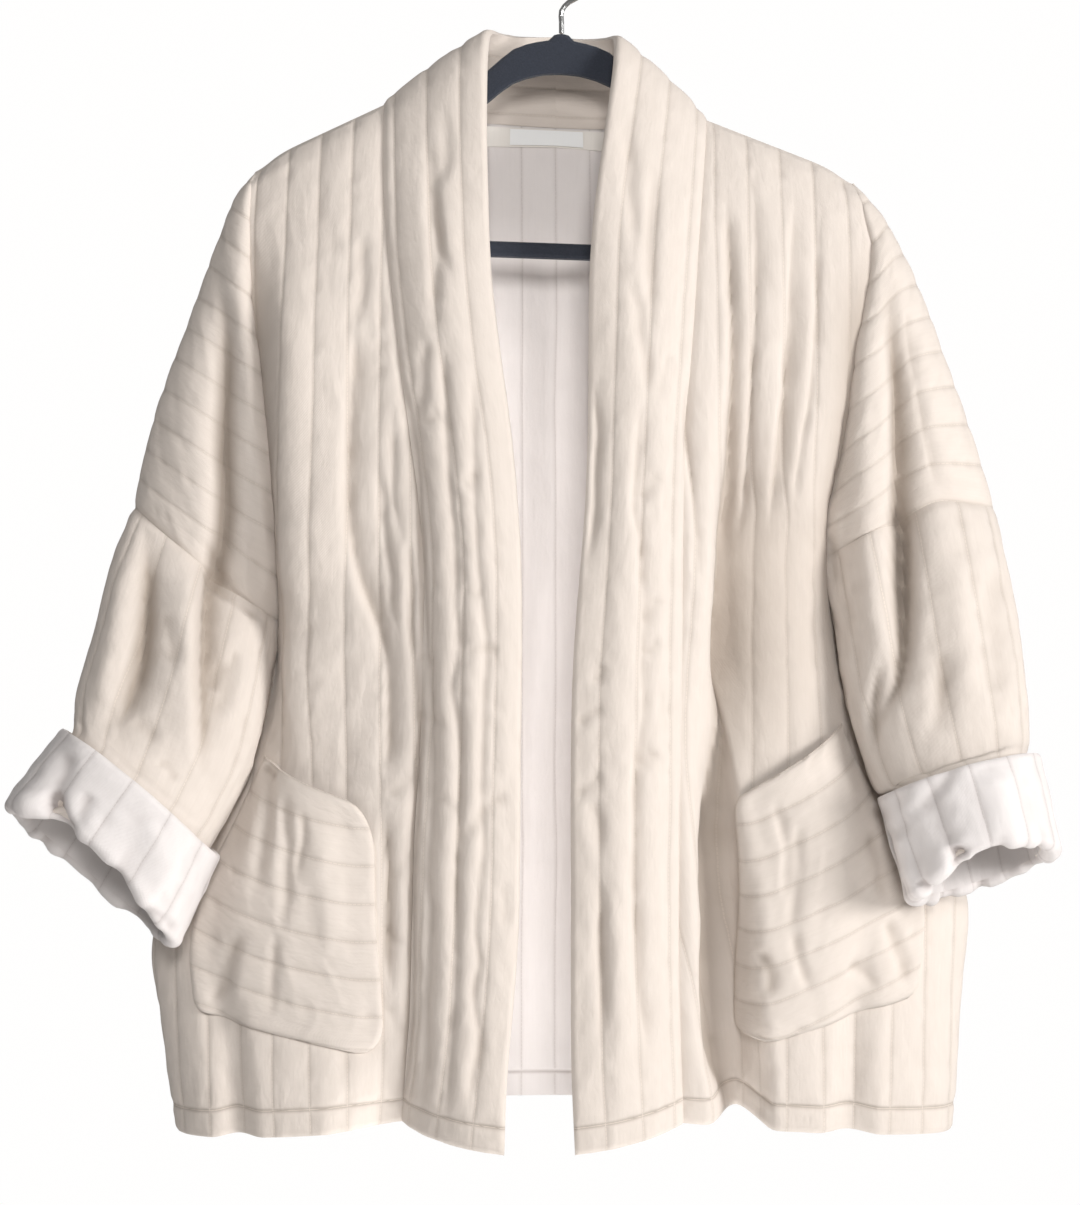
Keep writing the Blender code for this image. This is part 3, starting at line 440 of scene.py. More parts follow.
def back_form(side):
    """Middle surface of half the back, centre line to side."""
    neck = FRONT_SECTIONS[side][0]
    neck_point = np.array([neck.seam_x, neck.seam_y, neck.seam_z])
    tip = np.array([neck.outer_x, neck.outer_y, neck.outer_z])
    shoulder = between(neck_point, tip, crowded(BACK_COLUMNS)[1:, None])
    first = np.concatenate([neck_seam(side), shoulder])
    across = first[:, 0] / first[-1, 0]
    crown = first[:, 2] - between(first[0, 2], first[-1, 2], across)
    over = smoothstep(*BACK_BLEND, across)
    points = [first]
    turns = [np.ones_like(across)]
    for number in range(1, LAST_ROW + 1):
        section = BACK_SECTIONS[number]
        front = FRONT_SECTIONS[side][number]
        outer_y = -front.outer_y if number < CROTCH_ROW else front.outer_y
        level = between(section.centre_y, section.shoulder_y, over)
        turn = side_turn(across, front.rounding)
        y = between(outer_y, level, turn)
        z = between(section.centre_z, front.outer_z, across) + section.crown * crown
        points.append(np.stack([front.outer_x * across, y, z], axis=-1))
        turns.append(turn)
    form = through_rows(points, ROWS)
    push, lift = fold_shift(BACK_FOLDS[side], across)
    form[..., 1] -= push * through_rows(turns, ROWS)
    form[..., 2] += lift
    return form


def arm_half(inner, ridge, depth, facing, tilt=None):
    """Half-sections of an arm from their inner points over to their ridge."""
    turn = np.linspace(0.0, math.pi, ARM_COLUMNS + 1)
    part = (0.5 - 0.5 * np.cos(turn))[None, :, None]
    points = between(inner[:, None], ridge[:, None], part)
    points[..., 1] += facing * depth[:, None] * np.sin(turn)
    if tilt is not None:
        points[..., 2] -= facing * tilt[:, None] * np.sin(turn)
    return points


def arm_form(side, body, facing):
    """The dropped shoulder, cut in one with a body panel, out to its ridge."""
    sections = through_rows(ARM_SECTIONS[side], ARM_ROWS)
    return arm_half(body[:len(ARM_ROWS), -1], sections[:, :3], sections[:, 3], facing)


def sleeve_form(side, body):
    """Rings of a lower sleeve from the mid-arm seam to its turned-up edge."""
    top = ARM_SECTIONS[side][-1]
    inner = [body[CROTCH_ROW * SECTION_STEPS, -1]]
    outer = [top[:3]]
    depth = [top.depth]
    tilt = [0.0]
    for ring in SLEEVE_RINGS[side]:
        inner.append((ring.inner_x, ring.centre_y, ring.inner_z))
        outer.append((ring.outer_x, ring.centre_y, ring.outer_z))
        depth.append(ring.depth)
        tilt.append(ring.tilt)
    last = len(depth) - 1
    numbers = np.linspace(0.0, last, last * RING_STEPS + 1)
    tables = (inner, outer, depth, tilt)
    inner, outer, depth, tilt = [through_rows(table, numbers) for table in tables]
    front = arm_half(inner, outer, depth, -1.0, tilt)
    back = arm_half(inner, outer, depth, 1.0, tilt)
    scoop = MOUTH_SCOOP[side] * smoothstep(CUFF_TOP_RING, last, numbers)[:, None]
    turn = np.linspace(0.0, math.pi, ARM_COLUMNS + 1)
    axis = unit(0.5 * (inner[-1] + outer[-1]) - 0.5 * (inner[-RING_STEPS] + outer[-RING_STEPS]))
    front = front - (scoop * np.sin(turn) ** 2)[..., None] * axis
    return np.concatenate([front, back[:, -2:0:-1]], axis=1)


def bow_seam(side, points, away, reach):
    """Draws up the front of an arm near the mid-arm seam, most of all before the ridge."""
    part = 0.5 - 0.5 * np.cos(np.linspace(0.0, math.pi, ARM_COLUMNS + 1))
    shape = settled(np.minimum(part / BOW_PEAK, (1.0 - part) / (1.0 - BOW_PEAK)), BOW_PASSES)
    points[..., 2] += SEAM_BOW[side] * np.exp(-(away / reach) ** 2)[:, None] * shape


def ring_outward(ring, axis):
    """Directions out of a ring, square to its edge and to the arm."""
    along = np.roll(ring, -1, axis=0) - np.roll(ring, 1, axis=0)
    outward = unit(np.cross(along, axis))
    facing = np.sum(outward * (ring - ring.mean(axis=0)), axis=-1)
    return outward * np.sign(facing.sum())


def cuff_form(rings):
    """The turned-up end: round the fold at the sleeve's edge, then up outside it."""
    last = len(rings) - 1
    top = (CUFF_TOP_RING + 1) * RING_STEPS
    axis = unit(rings[last].mean(axis=0) - rings[top].mean(axis=0))
    outward = ring_outward(rings[last], axis)
    bend = 0.5 * CUFF_SPACING
    rows = []
    for angle in np.linspace(0.0, math.pi, CUFF_BEND_ROWS + 1):
        out = bend * (1.0 - math.cos(angle))
        rows.append(rings[last] + outward * out + axis * bend * math.sin(angle))
    for number in np.linspace(last, top, CUFF_WALL_ROWS + 1)[1:]:
        low = min(int(number), last - 1)
        ring = between(rings[low], rings[low + 1], number - low)
        rows.append(ring + ring_outward(ring, axis) * CUFF_SPACING)
    return np.array(rows)


def settled(line, passes):
    """A row of vectors or numbers with its corners smoothed away, its ends kept."""
    for _ in range(passes):
        line[1:-1] = 0.25 * line[:-2] + 0.5 * line[1:-1] + 0.25 * line[2:]
    return line


def collar_form(side, body):
    """Half the collar band, centre back to hem, from its seam to its free edge."""
    seam = np.concatenate([neck_seam(side), body[1:, 0]])
    shoulder = BAND_EDGES[side][0]
    angle = np.linspace(0.0, 0.5 * math.pi, NECK_COLUMNS + 1)
    x = shoulder.x * np.sin(angle)
    y = between(shoulder.y, BAND_BACK_Y, np.cos(angle))
    z = between(BAND_BACK_Z, shoulder.z, np.sin(angle))
    edge = np.concatenate([np.stack([x, y, z], axis=-1), through_rows(BAND_EDGES[side], ROWS)[1:]])
    edge = settled(edge, COLLAR_PASSES)
    along = np.gradient(0.5 * (seam + edge), axis=0)
    along[0, 1:] = 0.0
    outward = np.cross(along, edge - seam) * (1.0 if side == "right" else -1.0)
    outward = unit(settled(unit(outward), COLLAR_PASSES))
    part = np.linspace(0.0, 1.0, BAND_COLUMNS + 1)[None, :, None]
    row = np.concatenate([np.zeros(NECK_COLUMNS), ROWS])[:, None, None]
    roll = between(NECK_ROLL, 1.0, smoothstep(*ROLL_ROWS, row))
    bow = BAND_ROLL * roll * np.sin(math.pi * part)
    return between(seam[:, None], edge[:, None], part) + outward[:, None] * bow


def rounded_tips(points):
    """Points near the shoulders' tips brought down, so that no corner stands up."""
    for side in SIDES:
        top = FRONT_SECTIONS[side][0]
        tip = np.array([top.outer_x, top.outer_y, top.outer_z])
        way = unit(np.array([TIP_WAY[0] * np.sign(top.outer_x), 0.0, TIP_WAY[1]]))
        near = np.exp(-np.sum((points - tip) ** 2, axis=-1, keepdims=True) / TIP_REACH ** 2)
        points = points - TIP_DROP * near * way
    return points


# The camera, at the photograph's viewing angle
CAMERA_PLACE = (-0.012, -1.6, -0.4823)
IMAGE_SIZE = (1080, 1205)
FOCAL_PIXELS = 2147.0
SENSOR = 0.036
PIXEL = 0.000745          # size of a pixel of the photograph in the hanger's plane

# Unevenness
NOISE_CELLS = 64
CREASE_STRAY = 0.0015     # how far a crease wanders
CREASE_GRAIN = 0.020
CREASE_START = (-0.06, 0.22)  # parts of its length over which it comes up
CREASE_END = (0.72, 1.06)     # and dies away
LINE_PASSES = 160         # smoothing of a long crease's way, pixel by pixel
LINE_ENDS = 60.0          # pixels over which a long crease comes up and dies away
ENDS_DEPTH = 0.0060       # deeper creases take longer, in proportion
ENDS_SHARE = 0.45         # but no more than this part of their length
LINE_GRAIN = 30.0         # pixels between changes in a long crease's depth
LINE_SHARPNESS = 0.35
LINE_TAIL = 0.25          # how fast its sides die away beyond their widths
LINE_UNEVEN = 0.15
NARROW_PASSES = 16        # smoothing against which the narrow hollows that get painted shade are found
WIDE_PASSES = 320         # and the wide ones
NARROW_DEPTH = 0.0020
WIDE_DEPTH = 0.0085
HOLLOW_PUFF = 0.6         # how much of the puff counts beside the creases
FRONT_HOLLOWS = 0.8       # how much of that painted shade each panel takes
BAND_HOLLOWS = 0.6
BACK_HOLLOWS = 0.5
TURN_SHADE = 0.026        # width of the painted shade strip where a front turns in behind the arm
ARM_EDGE_SHADE = 0.0035   # the same along the arm's inner edge
SHADE_FROM_ROWS = (1.5, 4.0)      # sections over which both strips come up
SHADE_TO_ROWS = (9.0, 11.0)       # and the front's dies away
RIM_GATHER = 0.0030       # gathers round a sleeve's mouth
GATHER_GRAIN = (0.0085, 0.05)
GATHER_REACH = 0.022
SEAM_CLEAR = 0.009        # creases that stop at a seam fade out over this width
ARM_TURN = 0.5            # on an arm and on a cuff, over this sine of the turn to the other half
CUFF_TURN = 0.45
ARM_TOP_CLEAR = 0.05      # below the shoulder's tip
POCKET_CREASE_CLEAR = 0.012   # and inside a pocket's edges
POCKET_CRUMPLE_CLEAR = 0.010
FRONT_FACING = (0.01, 0.05)   # in front of the hanger, a front's creases come up between these
POCKET_PRESSES_PUFF = 0.9     # how much of each a pocket presses flat on the front behind it
POCKET_PRESSES_CREASES = 0.8
POCKET_FADE_ROWS = (0.1, 0.2)     # sections outside and inside its edges over which it does
POCKET_FADE_ACROSS = 0.03
CUFF_PRESSES_PUFF = 0.7   # the same for a cuff on the sleeve's end inside it
CUFF_FADE_RINGS = (0.6, 1.2)      # rings below the cuff's top over which it does
MOUTH_PUFF = 0.4          # part of a cuff's puff that is left at its fold
NECK_RUMPLED = (0.08, 0.14)   # the collar band is crumpled more up to here from the centre back
HEM_RUMPLED = (0.22, 0.6)     # and again from here on, as parts of its length
BAND_QUIET = 0.35         # part of the crumple which is left between them
BODY_CRUMPLE = 0.0009
ARM_CRUMPLE = 0.0013
CUFF_CRUMPLE = 0.0016
BAND_CRUMPLE = 0.0014
POCKET_CRUMPLE = 0.0009
Grain = namedtuple("Grain", "share across along")
DENTS = Grain(0.45, 0.022, 0.060)     # the three grains that a crumple is made of
RIDGES = Grain(0.35, 0.016, 0.034)
CRINKLES = Grain(0.20, 0.006, 0.009)
RIDGE_BEND = 0.012        # how far the ridges wander
BEND_GRAIN = 0.05
SEEDS = {
    "front_right": 100, "front_left": 200, "back": 300, "collar_right": 400, "collar_left": 500,
    "sleeve_right": 600, "sleeve_left": 700, "cuff_right": 800, "cuff_left": 900,
    "pocket_right": 1000, "pocket_left": 1100, "front_arm_right": 1200, "front_arm_left": 1300,
    "back_arm_right": 1400, "back_arm_left": 1500,
}

# Creases placed as the camera sees them, in pixels of the photograph's
# frame, with the bow to the right of their way down. Half width and depth are in
# metres; a negative depth is a trough, a positive one a ridge.
Crease = namedtuple("Crease", "from_u from_v to_u to_v bow half_width depth")
FRONT_CREASES = both_sides(Crease, {
    "right": [
        (318, 205, 336, 262, 2, 0.0061, -0.0013),
        (364, 230, 357, 330, 2, 0.0050, -0.0030),
        (378, 470, 396, 640, 3, 0.0040, -0.0026),
        (410, 772, 390, 800, 3, 0.0054, -0.0018),
        (411, 850, 389, 880, 2, 0.0047, -0.0014),
        (386, 925, 402, 948, -2, 0.0047, -0.0018),
        (386, 1000, 402, 1040, 2, 0.0054, -0.0018),
        (230, 1060, 236, 1130, 2, 0.0081, -0.0014),
        (430, 130, 436, 330, 3, 0.0050, -0.0036),
        (447, 110, 440, 190, 3, 0.0055, -0.0032),
        (438, 190, 450, 280, -3, 0.0040, -0.0026),
        (426, 340, 420, 420, 2, 0.0045, -0.0026),
        (440, 410, 421, 424, 3, 0.0054, -0.0016),
        (464, 490, 475, 470, 2, 0.0054, -0.0016),
        (462, 588, 480, 600, 2, 0.0054, -0.0016),
        (498, 651, 464, 652, -3, 0.0047, -0.0016),
        (416, 712, 446, 728, 3, 0.0047, -0.0014),
        (440, 795, 456, 815, 3, 0.0054, -0.0016),
        (505, 792, 458, 846, -4, 0.0057, -0.0026),
        (420, 655, 432, 668, 2, 0.0047, -0.0014),
        (500, 880, 506, 930, 2, 0.0054, -0.0016),
    ],
    "left": [
        (722, 210, 728, 320, 3, 0.0060, -0.0026),
        (752, 200, 762, 300, 2, 0.0070, -0.0020),
        (770, 1060, 764, 1130, -2, 0.0061, -0.0014),
        (625, 110, 632, 260, 3, 0.0055, -0.0030),
        (655, 160, 650, 330, -3, 0.0050, -0.0032),
        (632, 280, 646, 400, 3, 0.0050, -0.0030),
        (668, 350, 655, 400, 2, 0.0054, -0.0014),
        (659, 472, 636, 500, 3, 0.0054, -0.0020),
        (660, 596, 643, 625, -3, 0.0054, -0.0019),
        (658, 640, 644, 655, 2, 0.0047, -0.0019),
        (604, 664, 596, 684, 2, 0.0047, -0.0017),
        (579, 726, 604, 706, 2, 0.0047, -0.0017),
        (656, 750, 640, 768, -4, 0.0061, -0.0022),
        (602, 772, 574, 798, 4, 0.0054, -0.0022),
        (594, 800, 599, 850, 2, 0.0047, -0.0017),
        (600, 880, 602, 1040, 2, 0.0040, -0.0030),
        (620, 860, 618, 1100, -2, 0.0070, 0.0020),
    ],
})
ARM_CREASES = both_sides(Crease, {
    "right": [
        (205, 540, 232, 600, -3, 0.0040, -0.0030),
        (163, 610, 178, 668, 2, 0.0065, -0.0026),
        (150, 650, 178, 668, 2, 0.0060, -0.0018),
        (132, 722, 160, 740, 2, 0.0060, -0.0020),
        (158, 760, 176, 784, 2, 0.0055, -0.0016),
        (226, 585, 262, 622, -2, 0.0040, -0.0034),
        (215, 690, 228, 660, 2, 0.0045, -0.0030),
        (240, 640, 216, 720, 2, 0.0050, -0.0030),
    ],
    "left": [
        (829, 532, 832, 590, 1, 0.0050, -0.0026),
        (955, 560, 962, 700, 3, 0.0110, 0.0030),
        (990, 560, 1000, 720, 3, 0.0100, -0.0026),
    ],
})
CUFF_CREASES = both_sides(Crease, {
    "right": [
        (54, 790, 72, 842, -5, 0.0060, -0.0130),
        (32, 790, 30, 840, -3, 0.0080, 0.0040),
        (70, 750, 50, 800, 3, 0.0070, -0.0030),
        (88, 792, 78, 830, 2, 0.0050, -0.0024),
        (104, 860, 92, 880, 2, 0.0050, -0.0024),
        (150, 820, 172, 900, 3, 0.0120, 0.0030),
        (140, 905, 178, 935, 3, 0.0045, -0.0030),
    ],
    "left": [
        (957, 765, 910, 815, 2, 0.0060, -0.0030),
        (930, 800, 946, 850, 2, 0.0120, -0.0024),
        (990, 770, 1010, 840, 3, 0.0130, 0.0036),
        (955, 845, 960, 878, 3, 0.0060, -0.0110),
        (900, 830, 915, 885, -2, 0.0080, 0.0030),
        (920, 880, 930, 893, 2, 0.0040, -0.0020),
    ],
})
POCKET_CREASES = both_sides(Crease, {
    "right": [
        (268, 760, 258, 900, 2, 0.0060, -0.0034),
        (286, 790, 283, 930, 2, 0.0050, -0.0028),
        (302, 810, 298, 880, 2, 0.0040, -0.0022),
        (240, 930, 214, 1010, 2, 0.0060, -0.0034),
        (278, 930, 272, 1020, -2, 0.0050, -0.0022),
        (320, 820, 330, 960, 3, 0.0120, 0.0036),
        (218, 1010, 226, 1032, 2, 0.0040, -0.0031),
        (262, 765, 275, 780, 2, 0.0040, -0.0028),
    ],
    "left": [
        (776, 800, 786, 900, 3, 0.0050, -0.0022),
        (800, 820, 788, 940, 3, 0.0055, -0.0025),
        (760, 950, 772, 1000, 2, 0.0060, -0.0034),
        (792, 930, 806, 990, 2, 0.0050, -0.0025),
        (838, 760, 850, 860, 3, 0.0110, 0.0034),
        (870, 830, 884, 905, 2, 0.0060, -0.0031),
        (886, 915, 906, 985, 2, 0.0060, -0.0034),
        (848, 960, 880, 990, 2, 0.0060, -0.0022),
    ],
})

# Long creases and folds, drawn from top to bottom through points as the camera
# sees them, with the widths of their two sides in metres.
LongCrease = namedtuple("LongCrease", "left_width right_width depth path")
FRONT_FOLD_LINES = both_sides(LongCrease, {
    "right": [
        (0.0032, 0.0100, -0.0052, (
            (357, 320), (350, 440), (349, 480), (350, 520), (356, 560), (369, 600), (381, 630),
            (388, 660), (389, 700), (389, 740), (388, 770), (391, 792))),
        (0.0030, 0.0065, -0.0050, (
            (391, 798), (387, 820), (386, 840), (388, 870), (388, 910), (387, 950), (389, 980),
            (393, 1004))),
        (0.0040, 0.0040, -0.0024, (
            (392, 390), (394, 440), (394, 480), (393, 500), (398, 520), (404, 540), (409, 560))),
        (0.0030, 0.0050, -0.0040, (
            (408, 530), (413, 590), (410, 615), (411, 640), (416, 665), (418, 700), (420, 740),
            (416, 765), (417, 800), (413, 850), (411, 890), (412, 930), (412, 980), (410, 1020),
            (408, 1060), (404, 1115))),
        (0.0035, 0.0060, -0.0038, (
            (404, 370), (412, 420), (417, 460), (419, 500), (420, 540), (423, 580), (426, 640),
            (430, 700), (433, 750), (432, 800), (432, 830), (428, 870), (432, 910), (430, 950),
            (427, 1000), (427, 1050), (425, 1115))),
        (0.0040, 0.0050, -0.0034, (
            (444, 330), (446, 420), (450, 490), (455, 540), (456, 600), (459, 640), (456, 670),
            (451, 692), (458, 715), (461, 750), (460, 800), (458, 840), (456, 880), (457, 930),
            (456, 980), (453, 1030), (449, 1090), (446, 1140))),
        (0.0040, 0.0040, -0.0028, (
            (472, 360), (474, 450), (475, 500), (478, 560), (483, 610), (487, 650), (484, 690),
            (483, 740), (481, 790), (484, 845), (479, 890), (475, 935), (481, 962), (472, 990),
            (478, 1020), (479, 1045), (474, 1070), (468, 1120))),
        (0.0120, 0.0340, 0.0130, ((286, 200), (291, 400), (297, 560), (302, 790))),
    ],
    "left": [
        (0.0030, 0.0045, -0.0036, (
            (594, 370), (599, 440), (596, 470), (596, 510), (592, 540), (586, 576))),
        (0.0032, 0.0065, -0.0034, (
            (641, 390), (637, 460), (633, 510), (641, 540), (643, 580), (644, 620), (642, 670),
            (644, 705), (638, 755), (634, 790), (635, 840), (633, 880), (636, 930), (638, 985),
            (645, 1030), (650, 1070))),
        (0.0030, 0.0055, -0.0034, (
            (684, 360), (686, 440), (692, 480), (698, 530), (702, 590))),
        (0.0030, 0.0060, -0.0050, (
            (727, 170), (729, 240), (732, 320), (733, 400), (733, 460), (731, 510), (731, 545),
            (729, 570))),
        (0.0030, 0.0040, -0.0035, (
            (754, 150), (756, 240), (756, 320), (753, 400), (751, 460), (749, 510), (747, 550))),
        (0.0070, 0.0560, -0.0200, (
            (738, 300), (734, 400), (731, 500), (728, 580), (723, 660), (719, 720), (716, 780))),
        (0.0120, 0.0200, -0.0050, (
            (741, 440), (735, 520), (729, 580), (726, 620), (723, 660), (719, 700), (714, 760),
            (712, 820), (712, 870), (714, 920), (712, 960), (711, 1000), (714, 1040), (722, 1075),
            (737, 1120))),
        (0.0045, 0.0150, -0.0090, (
            (731, 560), (728, 600), (724, 650), (719, 700), (714, 760), (710, 820), (710, 870),
            (711, 920), (710, 960), (710, 1000), (713, 1040), (721, 1075), (733, 1110))),
        (0.0032, 0.0100, -0.0055, (
            (797, 160), (794, 220), (791, 280), (790, 320), (788, 360), (786, 400), (783, 440),
            (780, 490), (776, 540))),
        (0.0030, 0.0036, -0.0028, (
            (822, 180), (819, 220), (816, 320), (812, 400), (806, 440), (799, 530))),
    ],
})
ARM_FOLD_LINES = both_sides(LongCrease, {
    "right": [
        (0.0080, 0.0140, -0.0160, (
            (220, 240), (222, 300), (223, 350), (222, 400), (221, 450), (223, 500), (221, 535),
            (215, 565), (211, 600), (208, 635), (206, 670), (205, 700), (203, 740), (202, 790))),
        (0.0070, 0.0150, -0.0150, (
            (146, 505), (147, 550), (144, 590), (141, 630), (136, 665), (129, 695), (122, 720),
            (113, 760))),
        (0.0120, 0.0100, 0.0050, ((188, 560), (190, 680), (192, 790))),
        (0.0100, 0.0100, 0.0045, ((130, 540), (115, 640), (99, 730))),
        (0.0110, 0.0090, 0.0040, ((236, 240), (246, 350), (254, 450), (264, 570))),
    ],
    "left": [
        (0.0065, 0.0120, -0.0150, (
            (886, 255), (890, 300), (893, 340), (897, 380), (898, 420), (899, 470), (898, 520),
            (897, 570), (898, 610), (900, 650), (896, 682), (885, 710))),
        (0.0040, 0.0080, -0.0070, (
            (893, 480), (897, 560), (901, 640), (897, 684), (885, 706), (874, 735))),
        (0.0035, 0.0070, -0.0050, (
            (889, 640), (880, 664), (873, 700), (872, 730), (876, 770))),
        (0.0080, 0.0120, -0.0036, (
            (934, 626), (941, 680), (943, 702), (938, 725), (928, 752))),
        (0.0140, 0.0120, 0.0050, (
            (870, 300), (866, 420), (868, 520), (875, 600), (881, 670))),
        (0.0030, 0.0040, -0.0022, (
            (903, 290), (912, 350), (920, 400), (930, 450), (939, 500))),
    ],
})

# Painted shade on the walls of the deepest folds, in the same terms, with the amount of shade as depth
FRONT_SHADES = both_sides(LongCrease, {
    "right": [],
    "left": [
        (0.0040, 0.0560, 0.95, (
            (736, 380), (731, 500), (728, 580), (723, 660), (719, 720), (713, 860))),
        (0.0020, 0.0100, 0.45, ((728, 200), (732, 320), (733, 400), (733, 520))),
        (0.0020, 0.0120, 0.45, ((794, 220), (790, 320), (786, 400), (780, 490), (776, 560))),
    ],
})
ARM_SHADES = both_sides(LongCrease, {
    "right": [
        (0.0080, 0.0150, 0.60, ((221, 500), (215, 565), (208, 635), (205, 700), (202, 790))),
        (0.0050, 0.0110, 0.50, ((147, 520), (144, 590), (136, 665), (122, 720), (113, 760))),
    ],
    "left": [
        (0.0030, 0.0090, 0.80, (
            (884, 250), (890, 300), (896, 360), (899, 420), (900, 480), (897, 540), (898, 610),
            (899, 680))),
    ],
})

# Creases on the hidden sides, as seen straight from behind, in metres across and up
BACK_CREASES = named_rows(Crease, [
    (-0.034, -0.170, -0.040, -0.850, 0.003, 0.015, -0.0053),
    (-0.012, -0.150, -0.008, -0.600, 0.002, 0.011, 0.0026),
    (0.026, -0.150, 0.020, -0.700, -0.003, 0.014, -0.0056),
    (0.004, -0.480, 0.000, -0.850, 0.002, 0.011, -0.0034),
    (-0.190, -0.200, -0.150, -0.420, 0.006, 0.014, -0.0050),
    (-0.095, -0.150, -0.110, -0.330, -0.005, 0.011, -0.0034),
    (0.185, -0.210, 0.150, -0.450, -0.006, 0.014, -0.0054),
    (0.080, -0.160, 0.100, -0.360, 0.005, 0.011, -0.0032),
    (-0.020, -0.240, -0.014, -0.520, 0.004, 0.015, -0.0034),
    (0.030, -0.380, 0.042, -0.640, 0.005, 0.014, 0.0034),
    (-0.150, -0.470, -0.175, -0.700, -0.006, 0.013, -0.0047),
    (0.160, -0.500, 0.182, -0.760, 0.006, 0.013, -0.0045),
    (-0.215, -0.560, -0.240, -0.820, -0.005, 0.011, -0.0034),
    (0.215, -0.600, 0.236, -0.840, 0.005, 0.011, -0.0036),
    (-0.060, -0.600, -0.056, -0.850, 0.003, 0.014, 0.0032),
    (0.092, -0.620, 0.098, -0.860, 0.003, 0.011, -0.0029),
    (-0.262, -0.250, -0.250, -0.430, 0.005, 0.013, -0.0090),
    (0.262, -0.260, 0.258, -0.430, -0.005, 0.013, -0.0088),
])
HIDDEN_SLEEVE_CREASES = both_sides(Crease, {
    "right": [
        (-0.290, -0.440, -0.318, -0.560, 0.004, 0.013, -0.0059),
        (-0.245, -0.480, -0.268, -0.600, -0.004, 0.011, -0.0050),
        (-0.250, -0.540, -0.300, -0.560, 0.003, 0.010, -0.0020),
    ],
    "left": [
        (0.300, -0.430, 0.306, -0.560, 0.004, 0.013, -0.0059),
        (0.250, -0.470, 0.262, -0.580, -0.004, 0.011, -0.0050),
        (0.240, -0.540, 0.290, -0.560, 0.003, 0.010, -0.0020),
    ],
})


def soft_noise(u, v, size_u, size_v, seed):
    """Smooth noise from -1 to 1 over two lengths, with grains of the given sizes."""
    values = np.random.default_rng(seed).uniform(-1.0, 1.0, (NOISE_CELLS, NOISE_CELLS))
    cell_u = np.floor(u / size_u)
    cell_v = np.floor(v / size_v)
    du = smoothstep(0.0, 1.0, u / size_u - cell_u)
    dv = smoothstep(0.0, 1.0, v / size_v - cell_v)
    low_u = cell_u.astype(int) % NOISE_CELLS
    low_v = cell_v.astype(int) % NOISE_CELLS
    high_u = (low_u + 1) % NOISE_CELLS
    high_v = (low_v + 1) % NOISE_CELLS
    near = between(values[low_u, low_v], values[high_u, low_v], du)
    far = between(values[low_u, high_v], values[high_u, high_v], du)
    return between(near, far, dv)


def arc_across(form):
    """Length of cloth along each row, from its first column."""
    steps = np.linalg.norm(np.diff(form, axis=1), axis=-1)
    return np.concatenate([np.zeros((len(form), 1)), np.cumsum(steps, axis=1)], axis=1)


def arc_down(form):
    """Length of cloth down each column, from its first row."""
    return arc_across(form.swapaxes(0, 1)).T


def line_distance(across, spacing):
    """Distance to the nearest of evenly spaced lines of stitching."""
    return np.abs(across - spacing * np.round(across / spacing))


def seen_from_front(points):
    """Where the camera sees points, in pixels of the photograph's frame."""
    away = points[..., 1] - CAMERA_PLACE[1]
    u = IMAGE_SIZE[0] / 2 + FOCAL_PIXELS * (points[..., 0] - CAMERA_PLACE[0]) / away
    v = IMAGE_SIZE[1] / 2 - FOCAL_PIXELS * (points[..., 2] - CAMERA_PLACE[2]) / away
    return u, v


def crease_lift(creases, u, v, pixel):
    """How far listed creases lift the cloth; troughs have a negative depth."""
    lift = np.zeros_like(u)
    for number, crease in enumerate(creases):
        du = crease.to_u - crease.from_u
        dv = crease.to_v - crease.from_v
        length = math.hypot(du, dv)
        along = ((u - crease.from_u) * du + (v - crease.from_v) * dv) / length
        beside = ((u - crease.from_u) * dv - (v - crease.from_v) * du) / length
        part = along / length
        beside = beside - crease.bow * np.sin(math.pi * np.clip(part, 0.0, 1.0))
        stray = soft_noise(along, beside, CREASE_GRAIN / pixel, FAR, number)
        beside = beside + CREASE_STRAY / pixel * stray
        ends = smoothstep(*CREASE_START, part) * (1.0 - smoothstep(*CREASE_END, part))
        width = crease.half_width / pixel
        lift += crease.depth * ends * np.exp(-(beside / width) ** 2)
    return lift


def line_lift(creases, u, v):
    """How far long creases lift the cloth: sharp at the bottom, each side with its own width."""
    lift = np.zeros_like(u)
    for number, crease in enumerate(creases):
        path = np.array(crease.path, float)
        rows = np.arange(path[0, 1], path[-1, 1] + 1.0)
        way = settled(np.interp(rows, path[:, 1], path[:, 0]), LINE_PASSES)
        slope = np.interp(v, rows, np.gradient(way))
        beside = (u - np.interp(v, rows, way)) / np.sqrt(1.0 + slope ** 2) * PIXEL
        reach = np.abs(beside) / np.where(beside < 0.0, crease.left_width, crease.right_width)
        profile = np.exp(LINE_SHARPNESS - np.sqrt(reach ** 2 + LINE_SHARPNESS ** 2))
        profile = profile * np.exp(-LINE_TAIL * reach ** 2)
        fade = min(LINE_ENDS * max(1.0, abs(crease.depth) / ENDS_DEPTH), ENDS_SHARE * len(rows))
        ends = smoothstep(rows[0], rows[0] + fade, v) * (1.0 - smoothstep(rows[-1] - fade, rows[-1], v))
        change = LINE_UNEVEN * min(1.0, ENDS_DEPTH / abs(crease.depth))
        uneven = 1.0 + change * soft_noise(v, np.zeros_like(v), LINE_GRAIN, FAR, number)
        lift += crease.depth * ends * uneven * profile
    return lift


